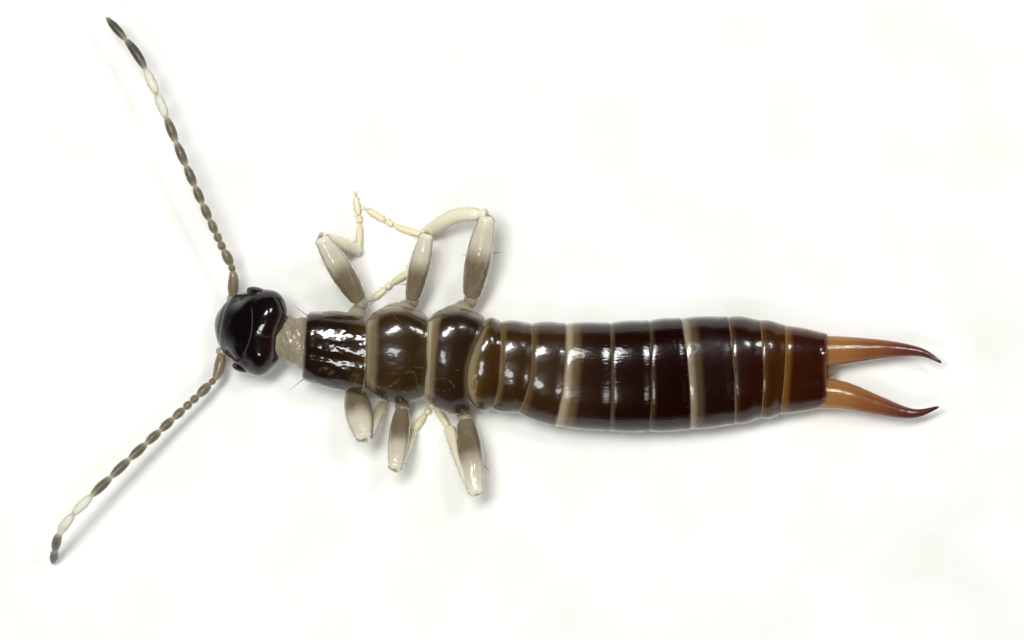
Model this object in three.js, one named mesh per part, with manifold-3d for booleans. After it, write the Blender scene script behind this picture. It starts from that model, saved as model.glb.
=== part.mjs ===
// A wingless earwig at life size, standing on the floor with its feelers spread.
// Millimetres. +X runs from the head to the forceps, +Y to the animal's right side, +Z up.
import * as THREE from "three";
import { mergeVertices } from "three/addons/utils/BufferGeometryUtils.js";
import Module from "manifold-3d";

const wasm = await Module();
wasm.setup();

// Driving dimensions
const GAP = 0.03;
const DEGREE = Math.PI / 180;
const TRUNK_SIDES = 24;
const TRUNK_RINGS = 5;
const LIMB_SIDES = 8;
const FEELER_SIDES = 7;
const RINGS_PER_BEAD = 5;
const RIM = 0.035;

// The trunk lies rolled to the left, so that its right flank shows from above.
const THORAX_ROLL = 17 * DEGREE;
const ABDOMEN_ROLL = 7 * DEGREE;

// The head hangs forward from the neck and looks a little to the right.
const HEAD_PIVOT = new THREE.Vector3(-2.9, -0.65, 0.76);
const HEAD_PITCH = 24 * DEGREE;
const HEAD_YAW = 15 * DEGREE;
const HEAD_ROLL = 9 * DEGREE;
const HEAD_LENGTH = 0.99;
const HEAD_HALF_WIDTH = 0.595;
const HEAD_HALF_DEPTH = 0.3;
const HEAD_NOTCH = 0.09;
const HEAD_LOBE_REACH = 0.11;
const HEAD_CHEEK = 0.32;
const HEAD_FACE_TAPER = 0.6;
const HEAD_BACK_ROUND = 0.3;
const HEAD_FRONT_ROUND = 0.24;
const HEAD_SHUT_SHARE = 0.015;

const EYE = { along: 0.43, side: 0.535, up: 0.05, length: 0.15, width: 0.07, height: 0.1 };

// Each trunk ring: x of its front and hind borders on the middle line, how far the borders
// slant and bow, its middle line, half widths and the heights of its back and belly.
const THORAX = [
  {
    name: "prothorax",
    front: { x: -2.53, slant: 0.03, bow: 0, y: -0.765, halfWidth: 0.44, top: 0.95, base: 0.36 },
    hind: { x: -1.74, slant: 0.03, bow: -0.02, y: -0.865, halfWidth: 0.5, top: 0.99, base: 0.3 },
    bulge: 0.02,
  },
  {
    name: "mesothorax",
    front: { x: -1.7, slant: 0.02, bow: 0, y: -0.85, halfWidth: 0.5, top: 0.97, base: 0.3 },
    hind: { x: -0.91, slant: 0.03, bow: -0.02, y: -0.91, halfWidth: 0.56, top: 0.98, base: 0.27 },
    bulge: 0.15,
  },
  {
    name: "metathorax",
    front: { x: -0.87, slant: 0.04, bow: -0.01, y: -0.92, halfWidth: 0.58, top: 0.97, base: 0.27 },
    hind: { x: -0.38, slant: 0.08, bow: 0.16, y: -1.0, halfWidth: 0.64, top: 0.95, base: 0.24 },
    bulge: 0.13,
  },
];

// The ten abdomen rings share their borders: x, slant, bow, middle line, half width, back, belly.
const ABDOMEN_BORDERS = [
  { x: -0.35, slant: 0.08, bow: 0.16, y: -1.0, halfWidth: 0.575, top: 0.9, base: 0.2 },
  { x: 0.08, slant: 0.06, bow: -0.05, y: -1.03, halfWidth: 0.59, top: 0.9, base: 0.14 },
  { x: 0.48, slant: 0.09, bow: -0.08, y: -1.07, halfWidth: 0.6, top: 0.9, base: 0.08 },
  { x: 0.93, slant: 0.08, bow: -0.05, y: -1.16, halfWidth: 0.69, top: 0.9, base: 0.03 },
  { x: 1.58, slant: 0, bow: -0.02, y: -1.19, halfWidth: 0.73, top: 0.9, base: 0.0 },
  { x: 2.11, slant: 0, bow: -0.02, y: -1.18, halfWidth: 0.75, top: 0.9, base: -0.02 },
  { x: 2.61, slant: -0.06, bow: -0.03, y: -1.15, halfWidth: 0.755, top: 0.88, base: -0.02 },
  { x: 3.23, slant: -0.05, bow: -0.02, y: -1.105, halfWidth: 0.725, top: 0.86, base: -0.02 },
  { x: 3.62, slant: -0.01, bow: -0.02, y: -1.085, halfWidth: 0.66, top: 0.82, base: 0.0 },
  { x: 3.91, slant: 0.03, bow: -0.01, y: -1.095, halfWidth: 0.605, top: 0.77, base: 0.05 },
  { x: 4.5, slant: 0, bow: 0.03, y: -1.08, halfWidth: 0.47, top: 0.63, base: 0.14 },
];
const RING_BULGE = 0.02;

// Feeler segments from the scape outwards: length and greatest thickness.
const FEELER_SEGMENTS = [
  [0.37, 0.155], [0.09, 0.095], [0.22, 0.135], [0.12, 0.11], [0.125, 0.11],
  [0.19, 0.118], [0.235, 0.12], [0.25, 0.122], [0.295, 0.125], [0.335, 0.126],
  [0.35, 0.126], [0.335, 0.125], [0.365, 0.128], [0.47, 0.128], [0.4, 0.115],
];
const FEELER_PARTS = [
  ["scape", 0, 1],
  ["flagellum_base", 1, 6],
  ["flagellum_mid", 6, 11],
  ["flagellum_pale", 11, 13],
  ["flagellum_tip", 13, 15],
];
const FEELER_JOINT_SHARE = 0.42;
const FEELER_ROUTES = {
  right: [
    [-3.535, -0.125, 0.5], [-3.535, 0.26, 0.6], [-3.67, 0.57, 0.66], [-3.9, 1.08, 0.72],
    [-4.23, 1.85, 0.76], [-4.63, 2.82, 0.74], [-4.83, 3.19, 0.71], [-5.24, 3.68, 0.64],
  ],
  left: [
    [-3.69, -0.86, 0.42], [-3.75, -1.16, 0.46], [-3.9, -1.34, 0.52], [-4.47, -1.88, 0.66],
    [-5.1, -2.48, 0.84], [-5.77, -3.18, 0.96], [-6.03, -3.74, 0.08],
  ],
};

// Legs: ring they grow from, place of the hip on it, then hip, knee, ankle, foot and toe.
const LEGS = [
  {
    name: "fore_right", ring: 0, along: 0.82, angle: -38,
    hip: [-1.8, -0.18, 0.5], knee: [-2.33, 0.71, 0.95], ankle: [-1.85, 0.53, 0.15],
    foot: [-1.83, 0.86, 0.06], toe: [-1.885, 1.25, 0.045], thigh: 0.33, shin: 0.17,
  },
  {
    name: "mid_right", ring: 1, along: 0.62, angle: -38,
    hip: [-1.11, -0.17, 0.5], knee: [-0.89, 0.76, 1.0], ankle: [-1.13, 0.25, 0.15],
    foot: [-1.38, 0.09, 0.06], toe: [-1.63, -0.12, 0.045], thigh: 0.28, shin: 0.16,
  },
  {
    name: "hind_right", ring: 2, along: 0.62, angle: -38,
    hip: [-0.31, -0.15, 0.48], knee: [-0.08, 1.0, 0.95], ankle: [-0.96, 0.74, 0.16],
    foot: [-1.33, 0.86, 0.06], toe: [-1.72, 1.08, 0.045], thigh: 0.36, shin: 0.2, arch: 0.11,
  },
  {
    name: "fore_left", ring: 0, along: 0.72, angle: 222,
    hip: [-1.9, -1.36, 0.32], knee: [-1.73, -2.04, 0.86], ankle: [-1.51, -1.57, 0.15],
    foot: [-1.41, -1.36, 0.06], toe: [-1.27, -1.08, 0.045], thigh: 0.38, shin: 0.17,
  },
  {
    name: "mid_left", ring: 1, along: 0.55, angle: 222,
    hip: [-1.24, -1.62, 0.3], knee: [-1.33, -2.45, 0.8], ankle: [-1.11, -1.94, 0.15],
    foot: [-0.95, -1.73, 0.06], toe: [-0.76, -1.48, 0.045], thigh: 0.28, shin: 0.16,
  },
  {
    name: "hind_left", ring: 2, along: 0.7, angle: 222,
    hip: [-0.39, -1.75, 0.3], knee: [-0.23, -2.79, 0.74], ankle: [-0.61, -1.89, 0.16],
    foot: [-0.79, -1.61, 0.06], toe: [-0.98, -1.16, 0.045], thigh: 0.35, shin: 0.2,
  },
];
const TOE_LIFT = 0.055;

// The two arms of the forceps: the route along the middle of each, and their thickness.
const FORCEPS = {
  right: [[4.44, -0.845, 0.4], [4.86, -0.825, 0.39], [5.5, -0.82, 0.37], [5.83, -0.87, 0.38], [6.08, -1.01, 0.41]],
  left: [[4.44, -1.41, 0.38], [4.8, -1.46, 0.38], [5.18, -1.57, 0.37], [5.72, -1.69, 0.37], [6.05, -1.6, 0.4]],
};
const FORCEPS_BASE = 0.43;
const FORCEPS_TAPER = 0.93;

const finishes = {
  blackShell: { color: 0x140d0b, roughness: 0.12 },
  brownShell: { color: 0x2a1a12, roughness: 0.2 },
  amberShell: { color: 0x7a3f16, roughness: 0.22 },
  membrane: { color: 0x9a9070, roughness: 0.45 },
  thigh: { color: 0x4a4238, roughness: 0.25 },
  shin: { color: 0xcfc08a, roughness: 0.35 },
  feeler: { color: 0x6b6355, roughness: 0.4 },
  paleFeeler: { color: 0xe6dfc8, roughness: 0.45 },
  eye: { color: 0x0c0c0e, roughness: 0.15 },
};

const insect = new THREE.Group();

function addNode(name, geometry, finish) {
  const mesh = new THREE.Mesh(geometry, new THREE.MeshStandardMaterial({ ...finish, metalness: 0 }));
  mesh.name = name;
  insect.add(mesh);
}

// A closed form around an axis. place(share, angle, reach) gives the point at a share of the
// length, an angle round it (0 is the right side, a quarter turn is up) and a share of the radius.
function closedForm(around, along, place) {
  const form = new THREE.CylinderGeometry(1, 1, 1, around, along);
  form.deleteAttribute("normal");
  form.deleteAttribute("uv");
  const points = form.getAttribute("position");
  for (let i = 0; i < points.count; i++) {
    const side = points.getZ(i);
    const up = points.getX(i);
    const placed = place(points.getY(i) + 0.5, Math.atan2(up, side), Math.min(1, Math.hypot(side, up)));
    points.setXYZ(i, placed.x, placed.y, placed.z);
  }
  return mergeVertices(form, 1e-5);
}

function power(value, exponent) {
  return Math.sign(value) * Math.abs(value) ** exponent;
}

function mix(from, to, share) {
  return from + (to - from) * share;
}

// Shares that crowd towards both ends, so that the rims come out round.
function eased(share) {
  return 0.5 - 0.5 * Math.cos(Math.PI * share);
}

// A point of a trunk ring, swollen outwards by a given distance.
function ringPoint(ring, share, angle, reach, swell = 0) {
  const rim = (share === 0 || share === 1 ? RIM : 0) * reach;
  const lift = mix(ring.front.top, ring.hind.top, share);
  const base = mix(ring.front.base, ring.hind.base, share);
  const bulge = 4 * share * (1 - share) * ring.bulge;
  const halfWidth = mix(ring.front.halfWidth, ring.hind.halfWidth, share) + bulge + swell - rim;
  const halfHeight = (lift - base) / 2 + 0.3 * bulge + swell - rim;
  const side = power(Math.cos(angle), 0.82) * reach;
  const up = power(Math.sin(angle), 0.82) * reach;
  const border = (edge) => edge.x + edge.slant * side + edge.bow * side * side;
  const x = mix(border(ring.front) - swell, border(ring.hind) + swell, share);
  const turned = new THREE.Vector2(side * halfWidth, up * halfHeight);
  turned.rotateAround(new THREE.Vector2(), ring.roll);
  const y = mix(ring.front.y, ring.hind.y, share) + turned.x;
  const z = (lift + base) / 2 + turned.y;
  return new THREE.Vector3(x, y, Math.max(z, -swell));
}

function ringForm(ring, swell = 0) {
  return closedForm(TRUNK_SIDES, TRUNK_RINGS, (share, angle, reach) =>
    ringPoint(ring, eased(share), angle, reach, swell));
}

// A round piece strung along a curve, with a radius that changes along it.
function limbForm(route, radiusAt, { sides = LIMB_SIDES, rings = 8, swell = 0, depth = 1, spacing = eased } = {}) {
  const run = route.getPoint(1).sub(route.getPoint(0));
  const level = Math.abs(run.z) < 0.7 * run.length();
  const reference = level ? new THREE.Vector3(0, 0, 1) : new THREE.Vector3(1, 0, 0);
  return closedForm(sides, rings, (share, angle, reach) => {
    const spot = spacing(share);
    const ahead = route.getTangentAt(spot);
    const side = new THREE.Vector3().crossVectors(reference, ahead).normalize();
    const up = new THREE.Vector3().crossVectors(ahead, side);
    const radius = (radiusAt(spot) + swell) * reach;
    const placed = route.getPointAt(spot);
    placed.addScaledVector(ahead, swell * (2 * spot - 1));
    placed.addScaledVector(side, radius * Math.cos(angle));
    placed.addScaledVector(up, radius * depth * Math.sin(angle));
    placed.z = Math.max(placed.z, -swell);
    return placed;
  });
}

function curveThrough(points) {
  return new THREE.CatmullRomCurve3(points.map((p) => new THREE.Vector3(...p)), false, "centripetal");
}

function solidOf(geometry) {
  const triVerts = new Uint32Array(geometry.index.array);
  const vertProperties = new Float32Array(geometry.getAttribute("position").array);
  return new wasm.Manifold(new wasm.Mesh({ numProp: 3, vertProperties, triVerts }));
}

function geometryOf(solid) {
  const mesh = solid.getMesh();
  const geometry = new THREE.BufferGeometry();
  geometry.setAttribute("position", new THREE.BufferAttribute(mesh.vertProperties, 3));
  geometry.setIndex(new THREE.BufferAttribute(mesh.triVerts, 1));
  return geometry;
}

// The piece with its neighbours' swollen forms cut away, as its largest closed body.
function fitted(geometry, neighbours) {
  let solid = solidOf(geometry);
  for (const neighbour of neighbours) solid = solid.subtract(solidOf(neighbour));
  const bodies = solid.decompose().sort((a, b) => b.volume() - a.volume());
  return geometryOf(bodies[0]);
}

// Trunk
const thorax = THORAX.map((ring) => ({ ...ring, roll: THORAX_ROLL }));
const abdomen = ABDOMEN_BORDERS.slice(1).map((hind, i) => ({
  name: `abdomen_${i + 1}`,
  front: { ...ABDOMEN_BORDERS[i], x: ABDOMEN_BORDERS[i].x + GAP / 2 },
  hind: { ...hind, x: hind.x - GAP / 2 },
  bulge: RING_BULGE,
  roll: mix(THORAX_ROLL, ABDOMEN_ROLL, Math.min(1, (i + 1) / 4)),
}));

function trunkFinish(i) {
  if (i < 1 || (i > 5 && i < 10)) return finishes.blackShell;
  return i < 6 ? finishes.brownShell : finishes.amberShell;
}

[...thorax, ...abdomen].forEach((ring, i) => addNode(ring.name, ringForm(ring), trunkFinish(i)));

// Head: a heart-shaped capsule in its own frame, forward along x, turned and hung in place.
const headTurn = new THREE.Matrix4()
  .makeTranslation(HEAD_PIVOT)
  .multiply(new THREE.Matrix4().makeRotationZ(-HEAD_YAW))
  .multiply(new THREE.Matrix4().makeRotationY(-HEAD_PITCH))
  .multiply(new THREE.Matrix4().makeRotationX(HEAD_ROLL));

// Half width of the head at a share of its length from the back of the head to the lip.
// It is widest at the cheeks, just behind the eyes.
function headHalfWidth(share) {
  const backwards = Math.max(0, (HEAD_CHEEK - share) / HEAD_CHEEK);
  const forwards = Math.max(0, (share - HEAD_CHEEK) / (1 - HEAD_CHEEK));
  return HEAD_HALF_WIDTH * (1 - 0.1 * backwards ** 3 - HEAD_FACE_TAPER * forwards ** 1.7);
}

// Share of the full section left near the rounded back and front.
function headEnd(share) {
  const inside = Math.min(1 - HEAD_SHUT_SHARE, Math.max(HEAD_SHUT_SHARE, share));
  const back = Math.max(0, HEAD_BACK_ROUND - inside) / HEAD_BACK_ROUND;
  const front = Math.max(0, inside - 1 + HEAD_FRONT_ROUND) / HEAD_FRONT_ROUND;
  return Math.sqrt(1 - back ** 2) * Math.sqrt(1 - front ** 2);
}

function headPoint(share, angle, reach, swell = 0) {
  const end = headEnd(share);
  const flat = share < 0.35 ? 0.9 + 0.1 * (share / 0.35) : 1 - 0.4 * ((share - 0.35) / 0.65) ** 2;
  const wide = power(Math.cos(angle), 0.92) * reach * (headHalfWidth(share) + swell) * end;
  const high = power(Math.sin(angle), 0.92) * reach * (HEAD_HALF_DEPTH * flat + swell) * end;
  const notch = HEAD_NOTCH * Math.exp(-((wide / HEAD_HALF_WIDTH / 0.4) ** 2)) * (1 - share) ** 3;
  const x = -(share * HEAD_LENGTH) + HEAD_LOBE_REACH * (1 - share) - notch + swell * (1 - 2 * share);
  return new THREE.Vector3(x, wide, high);
}

function headForm(swell = 0) {
  const form = closedForm(32, 14, (share, angle, reach) => headPoint(1 - eased(share), angle, reach, swell));
  return form.applyMatrix4(headTurn);
}

function eyeForm(hand, swell = 0) {
  const ball = new THREE.SphereGeometry(1, 14, 10);
  ball.deleteAttribute("normal");
  ball.deleteAttribute("uv");
  ball.scale(EYE.length + swell, EYE.width + swell, EYE.height + swell);
  ball.translate(-EYE.along, hand * EYE.side, EYE.up);
  return mergeVertices(ball, 1e-5).applyMatrix4(headTurn);
}

addNode("head", fitted(headForm(), [eyeForm(1, GAP), eyeForm(-1, GAP)]), finishes.blackShell);
addNode("eye_right", eyeForm(1), finishes.eye);
addNode("eye_left", eyeForm(-1), finishes.eye);

// Mouth: the upper lip with the jaws below it, and a jointed palp at each side.
function headRoute(points) {
  return curveThrough(points.map((p) => new THREE.Vector3(...p).applyMatrix4(headTurn).toArray()));
}

const jawRoute = headRoute([
  [-0.78 * HEAD_LENGTH, 0, -0.18],
  [-0.95 * HEAD_LENGTH, 0, -0.21],
  [-1.06 * HEAD_LENGTH, 0, -0.24],
]);
const jawForm = (swell) =>
  limbForm(jawRoute, (s) => 0.17 * Math.sqrt(1 - 0.75 * s * s), { sides: 12, rings: 6, depth: 0.6, swell });
addNode("mouthparts", fitted(jawForm(0), [headForm(GAP)]), finishes.brownShell);

for (const [name, hand] of [["right", 1], ["left", -1]]) {
  const route = headRoute([
    [-0.6 * HEAD_LENGTH, hand * 0.22, -0.26],
    [-0.72 * HEAD_LENGTH, hand * 0.27, -0.33],
    [-0.88 * HEAD_LENGTH, hand * 0.24, -0.32],
    [-1.0 * HEAD_LENGTH, hand * 0.16, -0.28],
  ]);
  const radius = (s) => 0.038 * (0.75 + 0.25 * Math.cos(6 * Math.PI * s));
  const palp = limbForm(route, radius, { sides: 7, rings: 12, spacing: (s) => s });
  addNode(`palp_${name}`, fitted(palp, [headForm(GAP), jawForm(GAP)]), finishes.membrane);
}

// Neck: soft folds between the head and the first shield.
const neckRoute = curveThrough([[-3.05, -0.66, 0.62], [-2.75, -0.7, 0.65], [-2.45, -0.74, 0.65]]);
const neck = limbForm(neckRoute, (s) => 0.34 - 0.03 * Math.cos(4 * Math.PI * s), { sides: 20, rings: 10, depth: 0.6 });
addNode("neck", fitted(neck, [headForm(GAP), ringForm(thorax[0], GAP)]), finishes.membrane);

// Feelers: beads strung along a route, each thick in the middle and thin at its joints.
const feelerLength = FEELER_SEGMENTS.reduce((sum, [length]) => sum + length, 0);
for (const [hand, points] of Object.entries(FEELER_ROUTES)) {
  const route = curveThrough(points);
  const span = route.getLength();
  let passed = 0;
  const starts = FEELER_SEGMENTS.map(([length]) => {
    const start = passed;
    passed += (length / feelerLength) * span;
    return start;
  });
  const ends = [...starts.slice(1), span];
  for (const [part, first, last] of FEELER_PARTS) {
    const from = starts[first] + (first ? GAP / 2 : 0);
    const to = ends[last - 1] - (last < FEELER_SEGMENTS.length ? GAP / 2 : 0);
    const stretch = (s) => mix(from, to, s) / span;
    const spacing = (s) => {
      const beads = last - first;
      const bead = Math.min(beads - 1, Math.floor(s * beads + 1e-9));
      const inside = eased(Math.min(1, s * beads - bead));
      const low = Math.max(from, starts[first + bead]);
      const high = Math.min(to, ends[first + bead]);
      return (mix(low, high, inside) - from) / (to - from);
    };
    const radius = (s) => {
      const at = stretch(s) * span;
      let k = first;
      while (k < last - 1 && at > ends[k] - 1e-9) k++;
      const inside = Math.min(1, Math.max(0, (at - starts[k]) / (ends[k] - starts[k])));
      const joint = k === FEELER_SEGMENTS.length - 1 && inside > 0.5 ? 0.25 : FEELER_JOINT_SHARE;
      const fullness = Math.sin(Math.PI * inside) ** 0.6;
      return (FEELER_SEGMENTS[k][1] / 2) * (joint + (1 - joint) * fullness);
    };
    const partRoute = { getPoint: (s) => route.getPointAt(stretch(s)) };
    partRoute.getPointAt = partRoute.getPoint;
    partRoute.getTangentAt = (s) => route.getTangentAt(stretch(s));
    let form = limbForm(partRoute, radius, {
      sides: FEELER_SIDES,
      rings: RINGS_PER_BEAD * (last - first),
      spacing,
    });
    if (part === "scape") form = fitted(form, [headForm(GAP)]);
    addNode(`feeler_${hand}_${part}`, form, part === "flagellum_pale" ? finishes.paleFeeler : finishes.feeler);
  }
}

// Legs: hip and thigh in one, shin, and foot with its toe pad on the floor.
for (const leg of LEGS) {
  const ring = thorax[leg.ring];
  const root = ringPoint(ring, leg.along, leg.angle * DEGREE, 1, GAP);
  const hip = new THREE.Vector3(...leg.hip);
  const knee = new THREE.Vector3(...leg.knee);
  const ankle = new THREE.Vector3(...leg.ankle);
  const inside = ringPoint(ring, leg.along, leg.angle * DEGREE, 0.9);
  const bow = hip.clone().lerp(knee, 0.5).add(new THREE.Vector3(0, 0, 0.04));
  const thighRoute = curveThrough([inside, root, hip, bow, knee].map((p) => p.toArray()));
  const hipShare = inside.distanceTo(hip) / thighRoute.getLength();
  const thighRadius = (s) => {
    if (s < hipShare) return 0.1 + 0.02 * Math.cos((3 * Math.PI * s) / hipShare);
    const t = (s - hipShare) / (1 - hipShare);
    const full = Math.sin(Math.PI * Math.min(1, t * 0.86 + 0.1)) ** 0.7;
    const tip = t > 0.97 ? 0.6 : 1;
    return tip * (0.06 + (leg.thigh / 2 - 0.06) * full);
  };
  const thigh = (swell) => limbForm(thighRoute, thighRadius, { rings: 11, swell });
  addNode(`${leg.name}_femur`, fitted(thigh(0), thorax.map((r) => ringForm(r, GAP))), finishes.thigh);

  const arch = new THREE.Vector3(0, leg.arch ?? 0, 0.1 * knee.distanceTo(ankle));
  const shinBow = knee.clone().lerp(ankle, 0.45).add(arch);
  const shinRoute = curveThrough([knee, shinBow, ankle].map((p) => p.toArray()));
  const shinRadius = (s) => {
    const end = s === 1 ? 0.7 : 1;
    return end * mix(leg.shin * 0.42, leg.shin * 0.5, Math.sin(Math.PI * Math.min(1, s * 1.1)));
  };
  const shin = (swell) => limbForm(shinRoute, shinRadius, { rings: 7, swell });
  addNode(`${leg.name}_tibia`, fitted(shin(0), [thigh(GAP)]), finishes.shin);

  const toe = new THREE.Vector3(...leg.toe);
  const foot = new THREE.Vector3(...leg.foot);
  const pad = toe.clone().add(toe.clone().sub(foot).setLength(0.08)).setZ(TOE_LIFT);
  const heel = ankle.clone().lerp(foot, 0.08);
  const footRoute = curveThrough([heel, foot, toe, pad].map((p) => p.toArray()));
  const footRadius = (s) => (s > 0.95 ? 0.03 : 0.052 - 0.012 * Math.cos(5 * Math.PI * s) * s);
  const footForm = limbForm(footRoute, footRadius, { rings: 10, spacing: (s) => s });
  addNode(`${leg.name}_tarsus`, fitted(footForm, [shin(GAP)]), finishes.shin);
}

// Forceps and the small end plate between them.
const lastRing = abdomen[abdomen.length - 1];
const armForms = {};
for (const [hand, points] of Object.entries(FORCEPS)) {
  const route = curveThrough(points);
  const radius = (s) => (FORCEPS_BASE / 2) * (1 - FORCEPS_TAPER * s ** 1.2);
  armForms[hand] = (swell) => limbForm(route, radius, { sides: 12, rings: 10, swell, depth: 0.75, spacing: (s) => s });
  addNode(`forceps_${hand}`, fitted(armForms[hand](0), [ringForm(lastRing, GAP)]), finishes.amberShell);
}
const plateRoute = curveThrough([[4.4, -1.13, 0.4], [4.56, -1.13, 0.38], [4.66, -1.13, 0.36]]);
const plate = limbForm(plateRoute, (s) => 0.1 * Math.sqrt(1 - 0.8 * s * s), { sides: 10, rings: 5, depth: 0.8 });
addNode(
  "pygidium",
  fitted(plate, [ringForm(lastRing, GAP), armForms.right(GAP), armForms.left(GAP)]),
  finishes.brownShell,
);

export default insect;
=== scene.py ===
"""Visual model of a wingless earwig at life size, seen from straight above on a pale floor.

Sizes are millimetres in the frame of the solids: +X from head to forceps, +Y to the animal's
right side, +Z up. They become metres only where a mesh is written.
"""
import logging
import math
import random
from dataclasses import dataclass, field
from enum import Enum
from typing import Callable, Sequence

import bpy
from mathutils import Matrix, Vector, noise


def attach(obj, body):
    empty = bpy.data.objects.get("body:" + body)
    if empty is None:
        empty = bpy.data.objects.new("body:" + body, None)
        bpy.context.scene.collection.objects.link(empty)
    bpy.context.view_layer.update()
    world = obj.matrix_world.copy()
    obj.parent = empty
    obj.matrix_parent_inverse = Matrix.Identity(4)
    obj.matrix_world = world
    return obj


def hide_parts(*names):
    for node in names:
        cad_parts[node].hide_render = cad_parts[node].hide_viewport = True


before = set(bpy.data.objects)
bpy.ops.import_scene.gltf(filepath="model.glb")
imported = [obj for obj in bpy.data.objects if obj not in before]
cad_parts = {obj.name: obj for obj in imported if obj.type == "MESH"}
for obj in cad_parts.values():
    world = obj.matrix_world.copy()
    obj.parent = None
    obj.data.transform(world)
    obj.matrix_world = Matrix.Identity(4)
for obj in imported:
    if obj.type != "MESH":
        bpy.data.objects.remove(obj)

log = logging.getLogger("earwig")

MM = 0.001
BODY = "root"
Rgb = tuple[float, float, float]
Place = Callable[[float, float, float], Vector]
Radius = Callable[[float], float]
UP = Vector((0, 0, 1))
HANDS = {"right": 1, "left": -1}


def mix(first: float, last: float, share: float) -> float:
    """Value at a share of the way from first to last."""
    return first + (last - first) * share


def clamp(value: float, low: float = 0.0, high: float = 1.0) -> float:
    """Value held between low and high."""
    return max(low, min(high, value))


def smooth(low: float, high: float, value: float) -> float:
    """Soft step from 0 at low to 1 at high."""
    share = clamp((value - low) / (high - low))
    return share * share * (3 - 2 * share)


def signed_power(value: float, exponent: float) -> float:
    """Power of the size of a value, with the value's sign."""
    return math.copysign(abs(value) ** exponent, value)


def hump(value: float, middle: float, width: float) -> float:
    """Bell curve that is 1 at its middle and fades over its width."""
    return math.exp(-((value - middle) / width) ** 2)


def rounded(share: float, start: tuple[float, float], end: tuple[float, float]) -> float:
    """Share of the full thickness left near the two rounded ends of a piece.

    Args:
        share: place along the piece.
        start: length of the rounded start, and the length over which it would close.
        end: the same for the rounded end.

    Returns:
        1 in the middle, less towards the ends.
    """
    back = (start[0] - min(share, start[0])) / start[1]
    front = (max(share, 1 - end[0]) - 1 + end[0]) / end[1]
    return math.sqrt(clamp(1 - back * back)) * math.sqrt(clamp(1 - front * front))


def domed(half: float, power: float, least: float = 0.02, extra: float = 0.0) -> Radius:
    """Half thickness that is full at a piece's start and rounds off to its end.

    Args:
        half: half thickness at the start.
        power: how late it rounds off.
        least: keeps the end from closing.
        extra: added everywhere.

    Returns:
        The half thickness at a share of the length.
    """
    return lambda share: half * math.sqrt(max(least, 1 - share ** power)) + extra


def above_floor(point: Vector, least: float = 0.0) -> Vector:
    """The point, lifted to the least height where it lies lower."""
    point.z = max(point.z, least)
    return point


def sideways(ahead: Vector, reference: Vector = UP) -> tuple[Vector, Vector]:
    """Directions to the side of a heading and square to both."""
    side = reference.cross(ahead).normalized()
    return side, ahead.cross(side)


def srgb(red: int, green: int, blue: int) -> Rgb:
    """Linear colour from the eight-bit colour seen on a screen."""
    def linear(level: int) -> float:
        """Linear value of one channel."""
        part = level / 255
        return part / 12.92 if part <= 0.04045 else ((part + 0.055) / 1.055) ** 2.4
    return linear(red), linear(green), linear(blue)


# Routes

class Route:
    """A smooth centripetal curve through points, walked by its length."""

    SAMPLES = 160
    SHORTEST_STEP = 1e-4
    HEADING_STEP = 0.01

    def __init__(self, points: Sequence[Sequence[float]]) -> None:
        """Samples the curve.

        Args:
            points: places that the curve passes through, in millimetres.
        """
        self.points = [Vector(point) for point in points]
        self.samples = [self._raw(i / self.SAMPLES) for i in range(self.SAMPLES + 1)]
        self.lengths = [0.0]
        for before, after in zip(self.samples, self.samples[1:]):
            self.lengths.append(self.lengths[-1] + (after - before).length)

    @property
    def length(self) -> float:
        """Length of the whole curve in millimetres."""
        return self.lengths[-1]

    def _raw(self, share: float) -> Vector:
        """Point at a share of the curve's own parameter."""
        points = self.points
        place = share * (len(points) - 1)
        index = min(int(place), len(points) - 2)
        inner = place - index
        first, last = points[index], points[index + 1]
        before = points[index - 1] if index else first * 2 - last
        after = points[index + 2] if index + 2 < len(points) else last * 2 - first
        chain = (before, first, last, after)
        lead, step, trail = (max(self.SHORTEST_STEP, (b - a).length ** 0.5) for a, b in zip(chain, chain[1:]))
        leave = (first - before) / lead - (last - before) / (lead + step) + (last - first) / step
        arrive = (last - first) / step - (after - first) / (step + trail) + (after - last) / trail
        leave, arrive = leave * step, arrive * step
        square, cube = inner * inner, inner ** 3
        return (first * (2 * cube - 3 * square + 1) + leave * (cube - 2 * square + inner)
                + last * (3 * square - 2 * cube) + arrive * (cube - square))

    def at(self, share: float) -> Vector:
        """Point at a share of the curve's length."""
        goal = clamp(share) * self.length
        low, high = 0, len(self.lengths) - 1
        while high - low > 1:
            middle = (low + high) // 2
            if self.lengths[middle] <= goal:
                low = middle
            else:
                high = middle
        part = (goal - self.lengths[low]) / max(1e-9, self.lengths[high] - self.lengths[low])
        return self.samples[low].lerp(self.samples[high], part)

    def heading(self, share: float) -> Vector:
        """Direction of travel at a share of the curve's length."""
        step = self.HEADING_STEP
        return (self.at(min(1.0, share + step)) - self.at(max(0.0, share - step))).normalized()

    def skin(self, share: float, angle: float, wide: float, high: float, reference: Vector = UP) -> Vector:
        """Point of a round piece that is strung along the curve.

        Args:
            share: place along the curve.
            angle: round the curve, 0 at its side and a quarter turn over it.
            wide: half thickness sideways, in millimetres.
            high: half thickness upwards.
            reference: a direction that the curve never takes.

        Returns:
            The point in millimetres.
        """
        side, up = sideways(self.heading(share), reference)
        return self.at(share) + side * (wide * math.cos(angle)) + up * (high * math.sin(angle))


# Modelling

def deselect_all() -> None:
    """Leaves nothing selected, so that an operator acts on its own piece only."""
    bpy.ops.object.select_all(action="DESELECT")


def activate(piece: bpy.types.Object) -> None:
    """Selects one piece alone and makes it active."""
    deselect_all()
    piece.select_set(True)
    bpy.context.view_layer.objects.active = piece


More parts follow.
